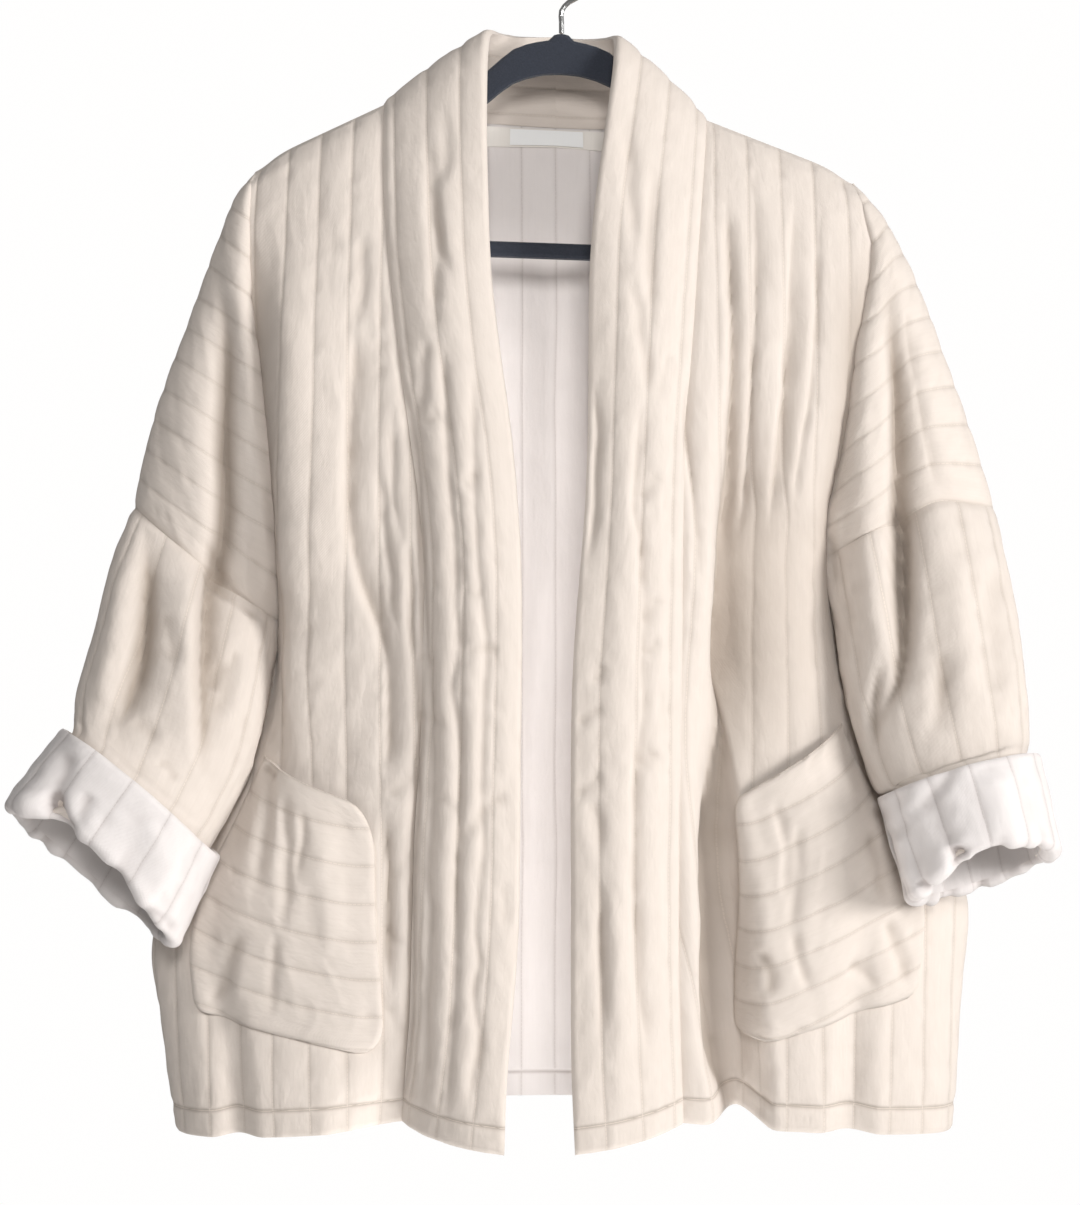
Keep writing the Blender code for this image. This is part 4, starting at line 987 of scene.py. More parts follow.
class Patch:
    """A grid of points on the middle of the cloth, with what is known at each point."""

    def __init__(self, points, flip, closed=False):
        self.points = points
        self.flip = flip
        self.closed = closed
        self.lift = np.zeros(points.shape[:2])
        self.puff = np.zeros(points.shape[:2])
        self.edge = np.full(points.shape[:2], FAR)
        self.line = np.full(points.shape[:2], CHANNEL)
        # painted shade from 0 to 1, for hollows, fold walls and the strips beside the arms
        self.shade = np.zeros(points.shape[:2])
        self.hollow_share = 1.0
        self.cloth_u = np.zeros(points.shape[:2])
        self.cloth_v = np.zeros(points.shape[:2])

    def looped(self):
        """The points, with the first column again at the end of a closed patch."""
        if self.closed:
            return np.concatenate([self.points, self.points[:, :1]], axis=1)
        return self.points

    def normals(self):
        """Sums of face normals at each point, pointing out of the coat."""
        points = self.looped()
        first = points[1:, 1:] - points[:-1, :-1]
        second = points[1:, :-1] - points[:-1, 1:]
        faces = np.cross(first, second) * (1.0 if self.flip else -1.0)
        sums = np.zeros_like(points)
        sums[:-1, :-1] += faces
        sums[1:, :-1] += faces
        sums[:-1, 1:] += faces
        sums[1:, 1:] += faces
        if self.closed:
            sums[:, 0] += sums[:, -1]
            sums = sums[:, :-1]
        return sums

    def beside(self, values):
        """The values of a grid's neighbours before, above, after and below each point."""
        padded = np.pad(values, ((1, 1), (0, 0)), mode="edge")
        padded = np.pad(padded, ((0, 0), (1, 1)), mode="wrap" if self.closed else "edge")
        return padded[1:-1, :-2], padded[:-2, 1:-1], padded[1:-1, 2:], padded[2:, 1:-1]

    def find_hollows(self):
        """Marks painted shade in the places that lie deeper than the cloth around them, narrow and wide
        ones.
        """
        height = self.lift + HOLLOW_PUFF * self.puff
        smooth = height
        for number in range(1, WIDE_PASSES + 1):
            smooth = 0.5 * smooth + 0.125 * sum(self.beside(smooth))
            if number == NARROW_PASSES:
                narrow = np.clip((smooth - height) / NARROW_DEPTH, 0.0, 1.0)
        wide = np.clip((smooth - height) / WIDE_DEPTH, 0.0, 1.0)
        self.shade = np.maximum(self.shade, self.hollow_share * np.maximum(narrow, wide))

    def faces(self, half_wall):
        """How far the outer and the inner face lie from the middle of the cloth."""
        round_off = np.clip(1.0 - self.edge / EDGE_ROUND, 0.0, 1.0)
        wall = half_wall * np.sqrt(1.0 - EDGE_THIN * round_off ** 2)
        outside = wall + self.lift + self.puff * (1.0 - round_off)
        inside = self.lift - wall - INNER_PUFF * np.maximum(self.puff, 0.0) * (1.0 - round_off)
        for _ in range(INNER_PASSES):
            inside = np.minimum.reduce((inside,) + self.beside(inside))
        return outside, inside

    def turn_over(self):
        """Makes the other face of the cloth the outer one."""
        self.normal = -self.normal
        self.flip = not self.flip

    def numbers(self, start):
        """Numbers of the grid's points from a first one, looped where it is closed."""
        rows, columns = self.points.shape[:2]
        grid = start + np.arange(rows * columns).reshape(rows, columns)
        if self.closed:
            grid = np.concatenate([grid, grid[:, :1]], axis=1)
        return grid


def quads(grid, flip):
    """Faces of a grid of point numbers, turned to face out of the coat."""
    faces = np.stack([grid[:-1, :-1], grid[1:, :-1], grid[1:, 1:], grid[:-1, 1:]], axis=-1).reshape(-1, 4)
    return faces[:, ::-1] if flip else faces


def quilt(patch, across, along, seed, puff=PUFF):
    """Raises uneven padded channels between evenly spaced stitching, with puckers beside it."""
    across = across + WAVER * soft_noise(along, across, *WAVER_GRAIN, seed)
    distance = line_distance(across, CHANNEL)
    rise = 1.0 - (1.0 - np.clip(2.0 * distance / CHANNEL, 0.0, 1.0)) ** PUFF_POWER
    uneven = 1.0 + PUFF_UNEVEN * soft_noise(along, across, *PUFF_GRAIN, seed + 1)
    patch.puff = puff * rise * uneven
    beside = np.exp(-distance / PUCKER_REACH)
    patch.puff = patch.puff + PUCKER * beside * soft_noise(along, across, *PUCKER_GRAIN, seed + 2)
    patch.cloth_u = across
    patch.cloth_v = along


def add_line(patch, distance, reach=LINE_REACH):
    """Draws the cloth in along one line of stitching."""
    patch.puff = patch.puff * (1.0 - np.exp(-(distance / reach) ** 2))


def add_seam(patch, distance):
    """Draws the padding in where two pieces are sewn together."""
    dip = SEAM_DIP * np.exp(-(distance / SEAM_WIDTH) ** 2)
    patch.puff = patch.puff * smoothstep(0.0, SEAM_REACH, distance) - dip


def crumple(across, along, depth, seed):
    """Soft dents and crinkles, large and small, most of them lying along the cloth."""
    large = soft_noise(across, along, *DENTS[1:], seed + 11)
    bent = across + RIDGE_BEND * soft_noise(across, along, BEND_GRAIN, BEND_GRAIN, seed + 12)
    ridges = 1.0 - 2.0 * np.abs(soft_noise(bent, along, *RIDGES[1:], seed + 13))
    small = soft_noise(across, along, *CRINKLES[1:], seed + 14)
    return depth * (DENTS.share * large + RIDGES.share * ridges + CRINKLES.share * small)


def joined(patches, field):
    """A value of every point of some patches, in one row."""
    grids = [np.broadcast_to(getattr(patch, field), patch.points.shape[:2]) for patch in patches]
    return np.concatenate([grid.ravel() for grid in grids])


def stacked(patches, field):
    """A vector of every point of some patches, in one row."""
    return np.concatenate([getattr(patch, field).reshape(-1, 3) for patch in patches])


def same_places(points):
    """The first point at each place, and the number of each point's place."""
    cells = np.round(points / SAME_PLACE).astype(np.int64)
    _, first, place = np.unique(cells, axis=0, return_index=True, return_inverse=True)
    return first, place.ravel()


def share_normals(patches):
    """Normals at every point, the same for all pieces that meet at a seam."""
    _, place = same_places(stacked(patches, "points"))
    sums = np.concatenate([patch.normals().reshape(-1, 3) for patch in patches])
    totals = np.zeros((place.max() + 1, 3))
    np.add.at(totals, place, sums)
    shared = unit(totals)[place]
    start = 0
    for patch in patches:
        count = patch.points.shape[0] * patch.points.shape[1]
        patch.normal = shared[start:start + count].reshape(patch.points.shape)
        start += count


def shoulder_rise(side):
    """The way out of the cloth along the shoulder seam, square to it."""
    top = FRONT_SECTIONS[side][0]
    run = np.array([top.outer_z - top.seam_z, 0.0, top.seam_x - top.outer_x])
    return unit(run * np.sign(run[2]))


def under_pocket(side):
    """1 on the part of a front that its pocket covers, fading to 0 at the pocket's edges."""
    pocket = POCKETS[side]
    across = crowded(FRONT_COLUMNS)[None, :]
    row = ROWS[:, None]
    width = pocket.top_outer.across - pocket.top_inner.across
    over = np.clip((across - pocket.top_inner.across) / width, 0.0, 1.0)
    top = between(pocket.top_inner.row, pocket.top_outer.row, over)
    bottom = between(pocket.bottom_inner.row, pocket.bottom_outer.row, over)
    part = np.clip((row - top) / (bottom - top), 0.0, 1.0)
    inner = between(pocket.top_inner.across, pocket.bottom_inner.across, part)
    outer = between(pocket.top_outer.across, pocket.bottom_outer.across, part)
    outside, inside = POCKET_FADE_ROWS
    below_top = smoothstep(top - outside, top + inside, row)
    above_bottom = 1.0 - smoothstep(bottom - inside, bottom + outside, row)
    past_inner = smoothstep(inner - POCKET_FADE_ACROSS, inner + POCKET_FADE_ACROSS, across)
    before_outer = 1.0 - smoothstep(outer - POCKET_FADE_ACROSS, outer + POCKET_FADE_ACROSS, across)
    return below_top * above_bottom * past_inner * before_outer


def clear_of(distance, width=SEAM_CLEAR):
    """1 away from a seam or an edge, falling to 0 at it."""
    return smoothstep(0.0, width, distance)


def finish_hem(patch, down):
    """A stitched hem above the lower edge of a panel."""
    above = down[-1:] - down
    patch.puff = patch.puff * between(HEM_PUFF, 1.0, smoothstep(HEM_FADE * HEM_LINE, HEM_LINE, above))
    add_line(patch, np.abs(above - HEM_LINE))
    patch.line = np.minimum(above - HEM_LINE, CHANNEL)
    patch.edge = above


def front_creases(side, points):
    """Lift of the creases on a front and its half of the collar band, the same on both."""
    u, v = seen_from_front(points)
    facing = smoothstep(*FRONT_FACING, -points[..., 1])
    lift = crease_lift(FRONT_CREASES[side], u, v, PIXEL) + line_lift(FRONT_FOLD_LINES[side], u, v)
    return lift * facing


def front_arm_creases(side, points):
    """Lift of the creases on the front of an arm, the same above and below its seam."""
    u, v = seen_from_front(points)
    return crease_lift(ARM_CREASES[side], u, v, PIXEL) + line_lift(ARM_FOLD_LINES[side], u, v)


def back_arm_creases(side, points):
    """Lift of the creases on the back of an arm, the same above and below its seam."""
    creases = BACK_CREASES + HIDDEN_SLEEVE_CREASES[side]
    return crease_lift(creases, points[..., 0], points[..., 2], 1.0)


def quilt_front(side, patch, seed):
    """Straight channels on a front, its seams, hem and creases."""
    arc = arc_across(patch.points)
    down = arc_down(patch.points)
    sign = -1.0 if side == "right" else 1.0
    places = zip(patch.points[..., 0], arc)
    grain = [np.interp(sign * GRAIN_X[side], sign * x, row) for x, row in places]
    quilt(patch, arc - np.array(grain)[:, None], down, seed)
    add_seam(patch, arc)
    add_seam(patch, down)
    covered = under_pocket(side)
    patch.puff = patch.puff * (1.0 - POCKET_PRESSES_PUFF * covered)
    finish_hem(patch, down)
    pressed = 1.0 - POCKET_PRESSES_CREASES * covered
    rumpled = crumple(arc, down, BODY_CRUMPLE, seed) * clear_of(arc)
    patch.lift = front_creases(side, patch.points) * pressed + rumpled
    patch.lift = patch.lift * clear_of(arc[:, -1:] - arc) * clear_of(down)
    # painted shade: a strip where the front turns in behind the arm, and the walls of its deepest folds
    turned = np.exp(-((arc[:, -1:] - arc) / TURN_SHADE) ** 2)
    beside_arm = (1.0 - smoothstep(*SHADE_TO_ROWS, ROWS)) * smoothstep(*SHADE_FROM_ROWS, ROWS)
    painted_fold_walls = line_lift(FRONT_SHADES[side], *seen_from_front(patch.points))
    patch.shade = np.maximum(turned * beside_arm[:, None], painted_fold_walls * pressed)
    patch.hollow_share = FRONT_HOLLOWS


def quilt_arm(side, patch, facing, seed):
    """Channels across the dropped shoulder, side by side with the mid-arm seam."""
    arc = arc_across(patch.points)
    down = arc_down(patch.points)
    middle = down[:, ARM_COLUMNS // 2]
    above = np.broadcast_to((middle[-1] - middle)[:, None], arc.shape)
    quilt(patch, above, arc, seed, ARM_PUFF)
    add_seam(patch, above)
    add_seam(patch, arc[:, -1:] - arc)
    turn = np.linspace(0.0, math.pi, ARM_COLUMNS + 1)
    clear = clear_of(np.sin(turn), ARM_TURN)[None, :] * clear_of(down, ARM_TOP_CLEAR)
    creases = front_arm_creases if facing < 0.0 else back_arm_creases
    rumpled = crumple(arc, down, ARM_CRUMPLE, seed) * clear_of(above)
    patch.lift = (creases(side, patch.points) + rumpled) * clear
    if facing < 0.0:
        # painted shade along the arm's inner edge and on the walls of its deepest folds
        edge = np.exp(-(arc / ARM_EDGE_SHADE) ** 2) * smoothstep(*SHADE_FROM_ROWS, ARM_ROWS)[:, None]
        patch.shade = np.maximum(edge, line_lift(ARM_SHADES[side], *seen_from_front(patch.points)))


def rim_gathers(across, away, seed):
    """Small gathers round a sleeve's mouth, fading away from it."""
    rim = np.exp(-(away / GATHER_REACH) ** 2)
    return RIM_GATHER * rim * soft_noise(across, away, *GATHER_GRAIN, seed + 5)


def round_sleeve(patch):
    """Parts of the way round a sleeve, and the lengths of cloth round it and down it."""
    share = np.arange(2 * ARM_COLUMNS) / (2.0 * ARM_COLUMNS)
    across = np.broadcast_to(share * SLEEVE_CHANNELS * CHANNEL, patch.points.shape[:2])
    return share, across, arc_down(patch.points)


def quilt_sleeve(side, patch, seed):
    """Channels along a lower sleeve, with its creases in front and behind."""
    share, across, down = round_sleeve(patch)
    quilt(patch, across, down, seed, ARM_PUFF)
    add_seam(patch, down)
    turn = np.sin(2.0 * math.pi * share)[None, :]
    in_front = clear_of(turn, ARM_TURN)
    behind = clear_of(-turn, ARM_TURN)
    creases = front_arm_creases(side, patch.points) * in_front
    creases = creases + back_arm_creases(side, patch.points) * behind
    # painted shade on the walls of the sleeve's deepest folds
    patch.shade = line_lift(ARM_SHADES[side], *seen_from_front(patch.points)) * in_front
    ring = np.arange(len(down))[:, None] / RING_STEPS
    inside_cuff = smoothstep(*CUFF_FADE_RINGS, ring - CUFF_TOP_RING)
    rumpled = crumple(across, down, ARM_CRUMPLE, seed) * clear_of(down)
    gathers = rim_gathers(across, down[-1:] - down, seed)
    patch.lift = (creases + rumpled) * (1.0 - inside_cuff) + gathers
    patch.puff = patch.puff * (1.0 - CUFF_PRESSES_PUFF * inside_cuff)


def quilt_cuff(side, patch, seed):
    """Channels along a turned-up sleeve end, lining outwards, and its soft top edge."""
    share, across, down = round_sleeve(patch)
    quilt(patch, across, down, seed, ARM_PUFF)
    patch.edge = down[-1:] - down
    turned = smoothstep(0.0, CUFF_BEND_ROWS, np.arange(len(down)))[:, None]
    in_front = clear_of(np.sin(2.0 * math.pi * share), CUFF_TURN)[None, :]
    u, v = seen_from_front(patch.points)
    patch.lift = crease_lift(CUFF_CREASES[side], u, v, PIXEL) * in_front * turned
    patch.lift = patch.lift + crumple(across, down, CUFF_CRUMPLE, seed) * turned
    patch.lift = patch.lift - rim_gathers(across, down, SEEDS["sleeve_" + side])
    patch.puff = patch.puff * between(MOUTH_PUFF, 1.0, turned)


def quilt_collar(side, patch, seed):
    """Lines along the collar band, crumpled most round the neck and towards the hem."""
    arc = arc_across(patch.points)
    down = arc_down(patch.points)
    part = np.linspace(0.0, 1.0, BAND_COLUMNS + 1)[None, :]
    across = (part - BAND_FIRST_LINE) / BAND_LINE_STEP * CHANNEL
    quilt(patch, np.broadcast_to(across, arc.shape), down, seed)
    add_seam(patch, arc)
    add_seam(patch, down)
    finish_hem(patch, down)
    width = arc[:, -1:]
    patch.edge = np.minimum(patch.edge, width - arc)
    lower = smoothstep(*HEM_RUMPLED, down / down[-1:])
    neck = 1.0 - smoothstep(*NECK_RUMPLED, down)
    rumpled = crumple(arc, down, BAND_CRUMPLE, seed)
    rumpled = rumpled * between(BAND_QUIET, 1.0, np.maximum(lower, neck))
    patch.lift = front_creases(side, patch.points) + rumpled * clear_of(arc) * clear_of(down)
    patch.hollow_share = BAND_HOLLOWS


def quilt_back(patch, seed):
    """Straight channels on the back, its hem and creases."""
    arc = arc_across(patch.points)
    down = arc_down(patch.points)
    middle = arc[:, NECK_COLUMNS + BACK_COLUMNS][:, None]
    quilt(patch, arc - middle, down, seed)
    add_seam(patch, down)
    finish_hem(patch, down)
    creases = crease_lift(BACK_CREASES, patch.points[..., 0], patch.points[..., 2], 1.0)
    rumpled = crumple(arc, down, BODY_CRUMPLE, seed)
    clear = clear_of(np.minimum(arc, arc[:, -1:] - arc)) * clear_of(down)
    patch.lift = (creases + rumpled) * clear
    patch.hollow_share = BACK_HOLLOWS


def grid_sample(grid, row, column):
    """Values of a grid at places between its rows and columns."""
    low_row = np.clip(np.floor(row).astype(int), 0, grid.shape[0] - 2)
    low_column = np.clip(np.floor(column).astype(int), 0, grid.shape[1] - 2)
    down = (row - low_row)[..., None]
    over = (column - low_column)[..., None]
    upper = between(grid[low_row, low_column], grid[low_row, low_column + 1], over)
    lower = between(grid[low_row + 1, low_column], grid[low_row + 1, low_column + 1], over)
    return between(upper, lower, down)


def corner_inset(part, size):
    """How far a rounded corner draws an edge in, at parts of the way to it."""
    turn = np.clip((part - 1.0 + size) / size, 0.0, 1.0)
    return size * (1.0 - np.sqrt(1.0 - turn ** 2))


def pocket_patch(side, body, seed):
    """A patch pocket: the front's own points moved out, its mouth standing off."""
    pocket = POCKETS[side]
    down = np.linspace(0.0, 1.0, POCKET_LINES + 1)[:, None]
    corners = POCKET_ROUNDS[side]
    inner = corner_inset(1.0 - down, corners.top_inner) + corner_inset(down, corners.bottom_inner)
    outer = corner_inset(down, corners.bottom_outer)
    across = inner + np.linspace(0.0, 1.0, POCKET_LINES + 1)[None, :] * (1.0 - inner - outer)
    place = {}
    for field in PocketCorner._fields:
        ends = [getattr(corner, field) for corner in pocket]
        top = between(ends[0], ends[1], across)
        bottom = between(ends[2], ends[3], across)
        place[field] = between(top, bottom, down)
    row = place["row"] * SECTION_STEPS
    column = (1.0 - (1.0 - place["across"]) ** (1.0 / SIDE_CROWDING)) * FRONT_COLUMNS
    normal = unit(grid_sample(body.normal, row, column))
    gape = POCKET_GAPE * np.sin(math.pi * across) * (1.0 - down ** 2)
    points = grid_sample(body.points, row, column) + normal * (POCKET_LIFT + gape)[..., None]
    patch = Patch(points, side == "right")
    patch.normal = normal
    arc = arc_across(points)
    fall = arc_down(points)
    quilt(patch, fall / POCKET_CHANNEL * CHANNEL, arc, seed, ARM_PUFF)
    rim = np.minimum(np.minimum(arc, arc[:, -1:] - arc), fall[-1:] - fall)
    patch.edge = np.minimum(rim, fall)
    u, v = seen_from_front(points)
    creases = crease_lift(POCKET_CREASES[side], u, v, PIXEL) * clear_of(rim, POCKET_CREASE_CLEAR)
    rumpled = crumple(arc, fall, POCKET_CRUMPLE, seed) * clear_of(rim, POCKET_CRUMPLE_CLEAR)
    patch.lift = creases + rumpled
    return patch


def strip_patch(strip, back, lift):
    """A strip sewn inside the back of the neck, from the back's points moved in."""
    rows = np.linspace(strip.first_row, strip.last_row, STRIP_ROWS + 1) * SECTION_STEPS
    first_x = back.points[0, :, 0]
    wanted_x = np.linspace(strip.from_x, strip.to_x, STRIP_COLUMNS + 1)
    columns = np.interp(wanted_x, first_x, np.arange(len(first_x)))
    row, column = np.meshgrid(rows, columns, indexing="ij")
    normal = unit(grid_sample(back.normal, row, column))
    patch = Patch(grid_sample(back.points, row, column) - normal * lift, True)
    patch.normal = normal
    patch.cloth_u = arc_across(patch.points)
    patch.cloth_v = arc_down(patch.points)
    return patch


def rim_edges(grid, flip):
    """Directed edges of a coarse grid, each with the fine point half way along it."""
    a = grid[:-2:2, :-2:2]
    b = grid[2::2, :-2:2]
    c = grid[2::2, 2::2]
    d = grid[:-2:2, 2::2]
    ways = [(a, grid[1:-1:2, :-2:2], b), (b, grid[2::2, 1:-1:2], c),
            (c, grid[1:-1:2, 2::2], d), (d, grid[:-2:2, 1:-1:2], a)]
    edges = np.concatenate([np.stack([x.ravel() for x in way], axis=-1) for way in ways])
    return edges[:, ::-1] if flip else edges


def shell_corners(patches, place):
    """Corners of the outer and the inner faces of a piece, and the open edges of its rim."""
    outer = []
    inner = []
    edges = []
    start = 0
    for patch in patches:
        grid = patch.numbers(start)
        outer.append(quads(grid, patch.flip))
        inner.append(quads(grid[::2, ::2], not patch.flip))
        edges.append(rim_edges(grid, patch.flip))
        start += patch.points.shape[0] * patch.points.shape[1]
    edges = np.concatenate(edges)
    ends = place[edges]
    count = place.max() + 1
    ways = ends[:, 0] * count + ends[:, 2]
    back_ways = ends[:, 2] * count + ends[:, 0]
    rim = edges[~np.isin(ways, back_ways) & (ends[:, 0] != ends[:, 2])]
    return np.concatenate(outer), np.concatenate(inner), rim


def sew_shell(outer, inner, rim, outer_place, inner_place):
    """Faces of a closed shell, with the patch point at each corner and each face's material."""
    faces = []
    loops = []
    slots = []
    for slot, corners, place in ((0, outer, outer_place), (1, inner, inner_place)):
        for face in corners.tolist():
            own = [corner for number, corner in enumerate(face) if place[corner] != place[face[number - 1]]]
            if len(own) > 2:
                faces.append([place[corner] for corner in own])
                loops.extend(own)
                slots.append(slot)
    for before, middle, after in rim.tolist():
        face = [outer_place[after], outer_place[middle], outer_place[before]]
        face += [inner_place[before], inner_place[after]]
        if len(set(face)) == len(face):
            faces.append(face)
            loops.extend([after, middle, before, before, after])
            slots.append(0)
    return faces, loops, slots


def new_object(name, data):
    """An object with its data, in the scene."""
    made = bpy.data.objects.new(name, data)
    bpy.context.collection.objects.link(made)
    return made


def set_values(mesh, name, values):
    """One named value at every vertex of a mesh."""
    attribute = mesh.attributes.new(name, "FLOAT", "POINT")
    attribute.data.foreach_set("value", values.astype(np.float32))


def add_piece(name, node, patches, cloth):
    """One cut piece as a closed padded shell, its outer face finer than its inner one."""
    for patch in patches:
        patch.find_hollows()
        patch.outside, patch.inside = patch.faces(cloth.half_wall)
    kept, place = same_places(stacked(patches, "points"))
    base = stacked(patches, "points")[kept]
    way = stacked(patches, "normal")[kept]
    shares = np.bincount(place)
    fields = ("outside", "inside", "line", "shade")
    mean = {field: np.bincount(place, joined(patches, field)) / shares for field in fields}
    outer, inner, rim = shell_corners(patches, place)
    inner_used = np.unique(place[inner])
    inner_number = np.full(len(kept), -1)
    inner_number[inner_used] = len(kept) + np.arange(len(inner_used))
    outside = base + way * mean["outside"][:, None]
    inside = base + way * mean["inside"][:, None]
    faces, loops, slots = sew_shell(outer, inner, rim, place.tolist(), inner_number[place].tolist())
    mesh = bpy.data.meshes.new(name)
    mesh.from_pydata(np.concatenate([outside, inside[inner_used]]).tolist(), [], faces)
    mesh.materials.append(cloth.outer)
    mesh.materials.append(cloth.inner)
    mesh.polygons.foreach_set("material_index", slots)
    flat = np.stack([joined(patches, "cloth_u")[loops], joined(patches, "cloth_v")[loops]], axis=-1)
    mesh.uv_layers.new(name="cloth").uv.foreach_set("vector", flat.astype(np.float32).ravel())
    set_values(mesh, "single_line", np.concatenate([mean["line"], mean["line"][inner_used]]))
    # painted shade at the outer face's points; none on the inner face
    set_values(mesh, "hollow", np.concatenate([mean["shade"], np.zeros(len(inner_used))]))
    mesh.shade_smooth()
    mesh.set_sharp_from_angle(angle=math.radians(SHARP_ANGLE))
    piece = new_object(name, mesh)
    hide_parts(node)
    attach(piece, "root")
    return piece


# Finishes of the cloth. Grains are given across and along a channel of the flat
# cloth, with the detail of their noise and the height they give; colours are linear.
NoiseGrain = namedtuple("NoiseGrain", "across along detail height", defaults=(1.0,))
WEAVE_THREAD = 0.0008
WEAVE_HEIGHT = 0.0001
FINE_CRINKLE = NoiseGrain(0.0022, 0.0045, 3.0, 0.0003)
BROAD_CRINKLE = NoiseGrain(0.009, 0.016, 2.0, 0.0006)
GAUZE_FOLDS = NoiseGrain(0.014, 0.036, 2.0, 0.0032)
FOLDED_PLACES = NoiseGrain(0.05, 0.07, 1.0)     # where the gauze's small folds are stronger
SLUBS = NoiseGrain(0.0012, 0.05, 2.0)
STITCH_STRAY = NoiseGrain(0.2, 0.012, 1.0, 0.0007)
STITCH_GAP = 0.10         # part of a stitch that is under the cloth
STITCH_THREAD = 0.0006
STITCH_LENGTH = 0.0032
STITCH_HEIGHT = 0.0002
GROOVE_WIDTH = 0.0014
GROOVE_DEPTH = 0.0016     # of a groove with full shade
# Painted shade in the grooves of the stitching, and in the hollows, as parts of the way to the groove
# colour
CHANNEL_SHADE = 0.22
SINGLE_SHADE = 0.6        # the same for a hem's single line of stitching
HOLLOW_SHADE = 0.85
CLOTH_RELIEF = 0.7        # strength of the bump
CLOTH_SHEEN_ROUGHNESS = 0.6
CLOTH_SPECULAR = 0.25
# A finish's groove colour is the colour of its painted shade: in the grooves of the stitching, in hollows,
# on fold walls and beside the arms
Finish = namedtuple("Finish", "light dark groove thread roughness sheen crinkle thread_width")
GAUZE = Finish(
    light=(0.69, 0.615, 0.555), dark=(0.60, 0.53, 0.47), groove=(0.33, 0.27, 0.22),
    thread=(0.66, 0.58, 0.51), roughness=0.92, sheen=0.12, crinkle=1.0, thread_width=0.0005)
LINING = Finish(
    light=(0.72, 0.675, 0.655), dark=(0.66, 0.615, 0.595), groove=(0.42, 0.37, 0.35),
    thread=(0.56, 0.51, 0.49), roughness=0.9, sheen=0.08, crinkle=0.7, thread_width=0.0005)
TAPE = Finish(
    light=(0.78, 0.74, 0.69), dark=(0.70, 0.66, 0.61), groove=(0.5, 0.45, 0.4),
    thread=(0.78, 0.74, 0.69), roughness=0.85, sheen=0.05, crinkle=0.2, thread_width=0.0006)
LABEL = Finish(
    light=(0.86, 0.86, 0.85), dark=(0.82, 0.82, 0.81), groove=(0.6, 0.6, 0.6),
    thread=(0.86, 0.86, 0.85), roughness=0.45, sheen=0.0, crinkle=0.05, thread_width=0.0004)

# Finishes of the hanger and its hook
NAVY_DARK = (0.0108, 0.0132, 0.0198)
NAVY_LIGHT = (0.027, 0.033, 0.0495)
FLOCK_NAP = 900.0         # nap of the flock and wear of the wire, in grains for each metre
FLOCK_DETAIL = 4.0
FLOCK_HEIGHT = 0.0006
FLOCK_RELIEF = 0.6
FLOCK_ROUGHNESS = 0.95
FLOCK_SHEEN = 0.25
FLOCK_SHEEN_ROUGHNESS = 0.5
STEEL_DARK = (0.675, 0.675, 0.666)
STEEL_LIGHT = (0.75, 0.75, 0.74)
STEEL_WEAR = 160.0
STEEL_ROUGHNESS = 0.18

# Light, surround and floor
Lamp = namedtuple("Lamp", "name place aim size power")
LAMPS = (
    Lamp("key", (3.0, -2.1, 0.0), (0.0, 0.0, -0.5), (1.2, 1.2), 123.0),
    Lamp("front", (0.15, -2.6, 0.4), (0.0, 0.0, -0.5), (0.6, 0.6), 38.0),
    Lamp("behind", (-0.9, 2.8, 0.2), (0.0, 0.0, -0.5), (1.2, 1.2), 70.0),
    Lamp("under", (0.0, 0.0, -1.30), (0.0, 0.0, -0.7), (0.36, 0.06), 2.5),
    Lamp("inside", (-0.10, -0.03, -0.54), (-0.02, 0.06, -0.54), (0.06, 0.60), 0.36),
)
SURROUND = (1.0, 0.995, 0.99)
WORLD_STRENGTH = 0.175    # of the surround as light, and as the camera sees it
SEEN_STRENGTH = 1.0
FLOOR_SIZE = 4.0
FLOOR_Z = -1.5
FLOOR_DARK = (0.80, 0.79, 0.78)
FLOOR_LIGHT = (0.84, 0.83, 0.82)
FLOOR_GRAIN = 3.0
FLOOR_ROUGHNESS = 0.8
MILLIMETRES = 1000.0


def new_group(name, inputs, outputs):
    """An empty shader node group with named values in and out, and its two end nodes."""
    group = bpy.data.node_groups.new(name, "ShaderNodeTree")
    for socket, value in inputs.items():
        made = group.interface.new_socket(name=socket, in_out="INPUT", socket_type="NodeSocketFloat")
        made.default_value = value
    for socket in outputs:
        group.interface.new_socket(name=socket, in_out="OUTPUT", socket_type="NodeSocketFloat")
    return group, group.nodes.new("NodeGroupInput"), group.nodes.new("NodeGroupOutput")


def math_node(tree, operation, *values):
    """A math node with each input linked or set, and its result."""
    node = tree.nodes.new("ShaderNodeMath")
    node.operation = operation
    for number, value in enumerate(values):
        if isinstance(value, (int, float)):
            node.inputs[number].default_value = value
        else:
            tree.links.new(value, node.inputs[number])
    return node.outputs[0]


def attribute_value(tree, name):
    """A value that the mesh holds at its vertices."""
    node = tree.nodes.new("ShaderNodeAttribute")
    node.attribute_name = name
    return node.outputs["Fac"]


def cloth_place(tree):
    """Where a point lies on the flat cloth, in metres across and along its channels."""
    uv = tree.nodes.new("ShaderNodeUVMap")
    uv.uv_map = "cloth"
    parts = tree.nodes.new("ShaderNodeSeparateXYZ")
    tree.links.new(uv.outputs["UV"], parts.inputs[0])
    return uv.outputs["UV"], parts.outputs["X"], parts.outputs["Y"]


def cloth_noise(tree, place, grain):
    """Noise on the flat cloth with its own grain across and along."""
    scaled = tree.nodes.new("ShaderNodeVectorMath")
    scaled.operation = "MULTIPLY"
    scaled.inputs[1].default_value = (1.0 / grain.across, 1.0 / grain.along, 1.0)
    tree.links.new(place, scaled.inputs[0])
    noise = tree.nodes.new("ShaderNodeTexNoise")
    noise.inputs["Scale"].default_value = 1.0
    noise.inputs["Detail"].default_value = grain.detail
    tree.links.new(scaled.outputs[0], noise.inputs["Vector"])
    return noise.outputs["Fac"]


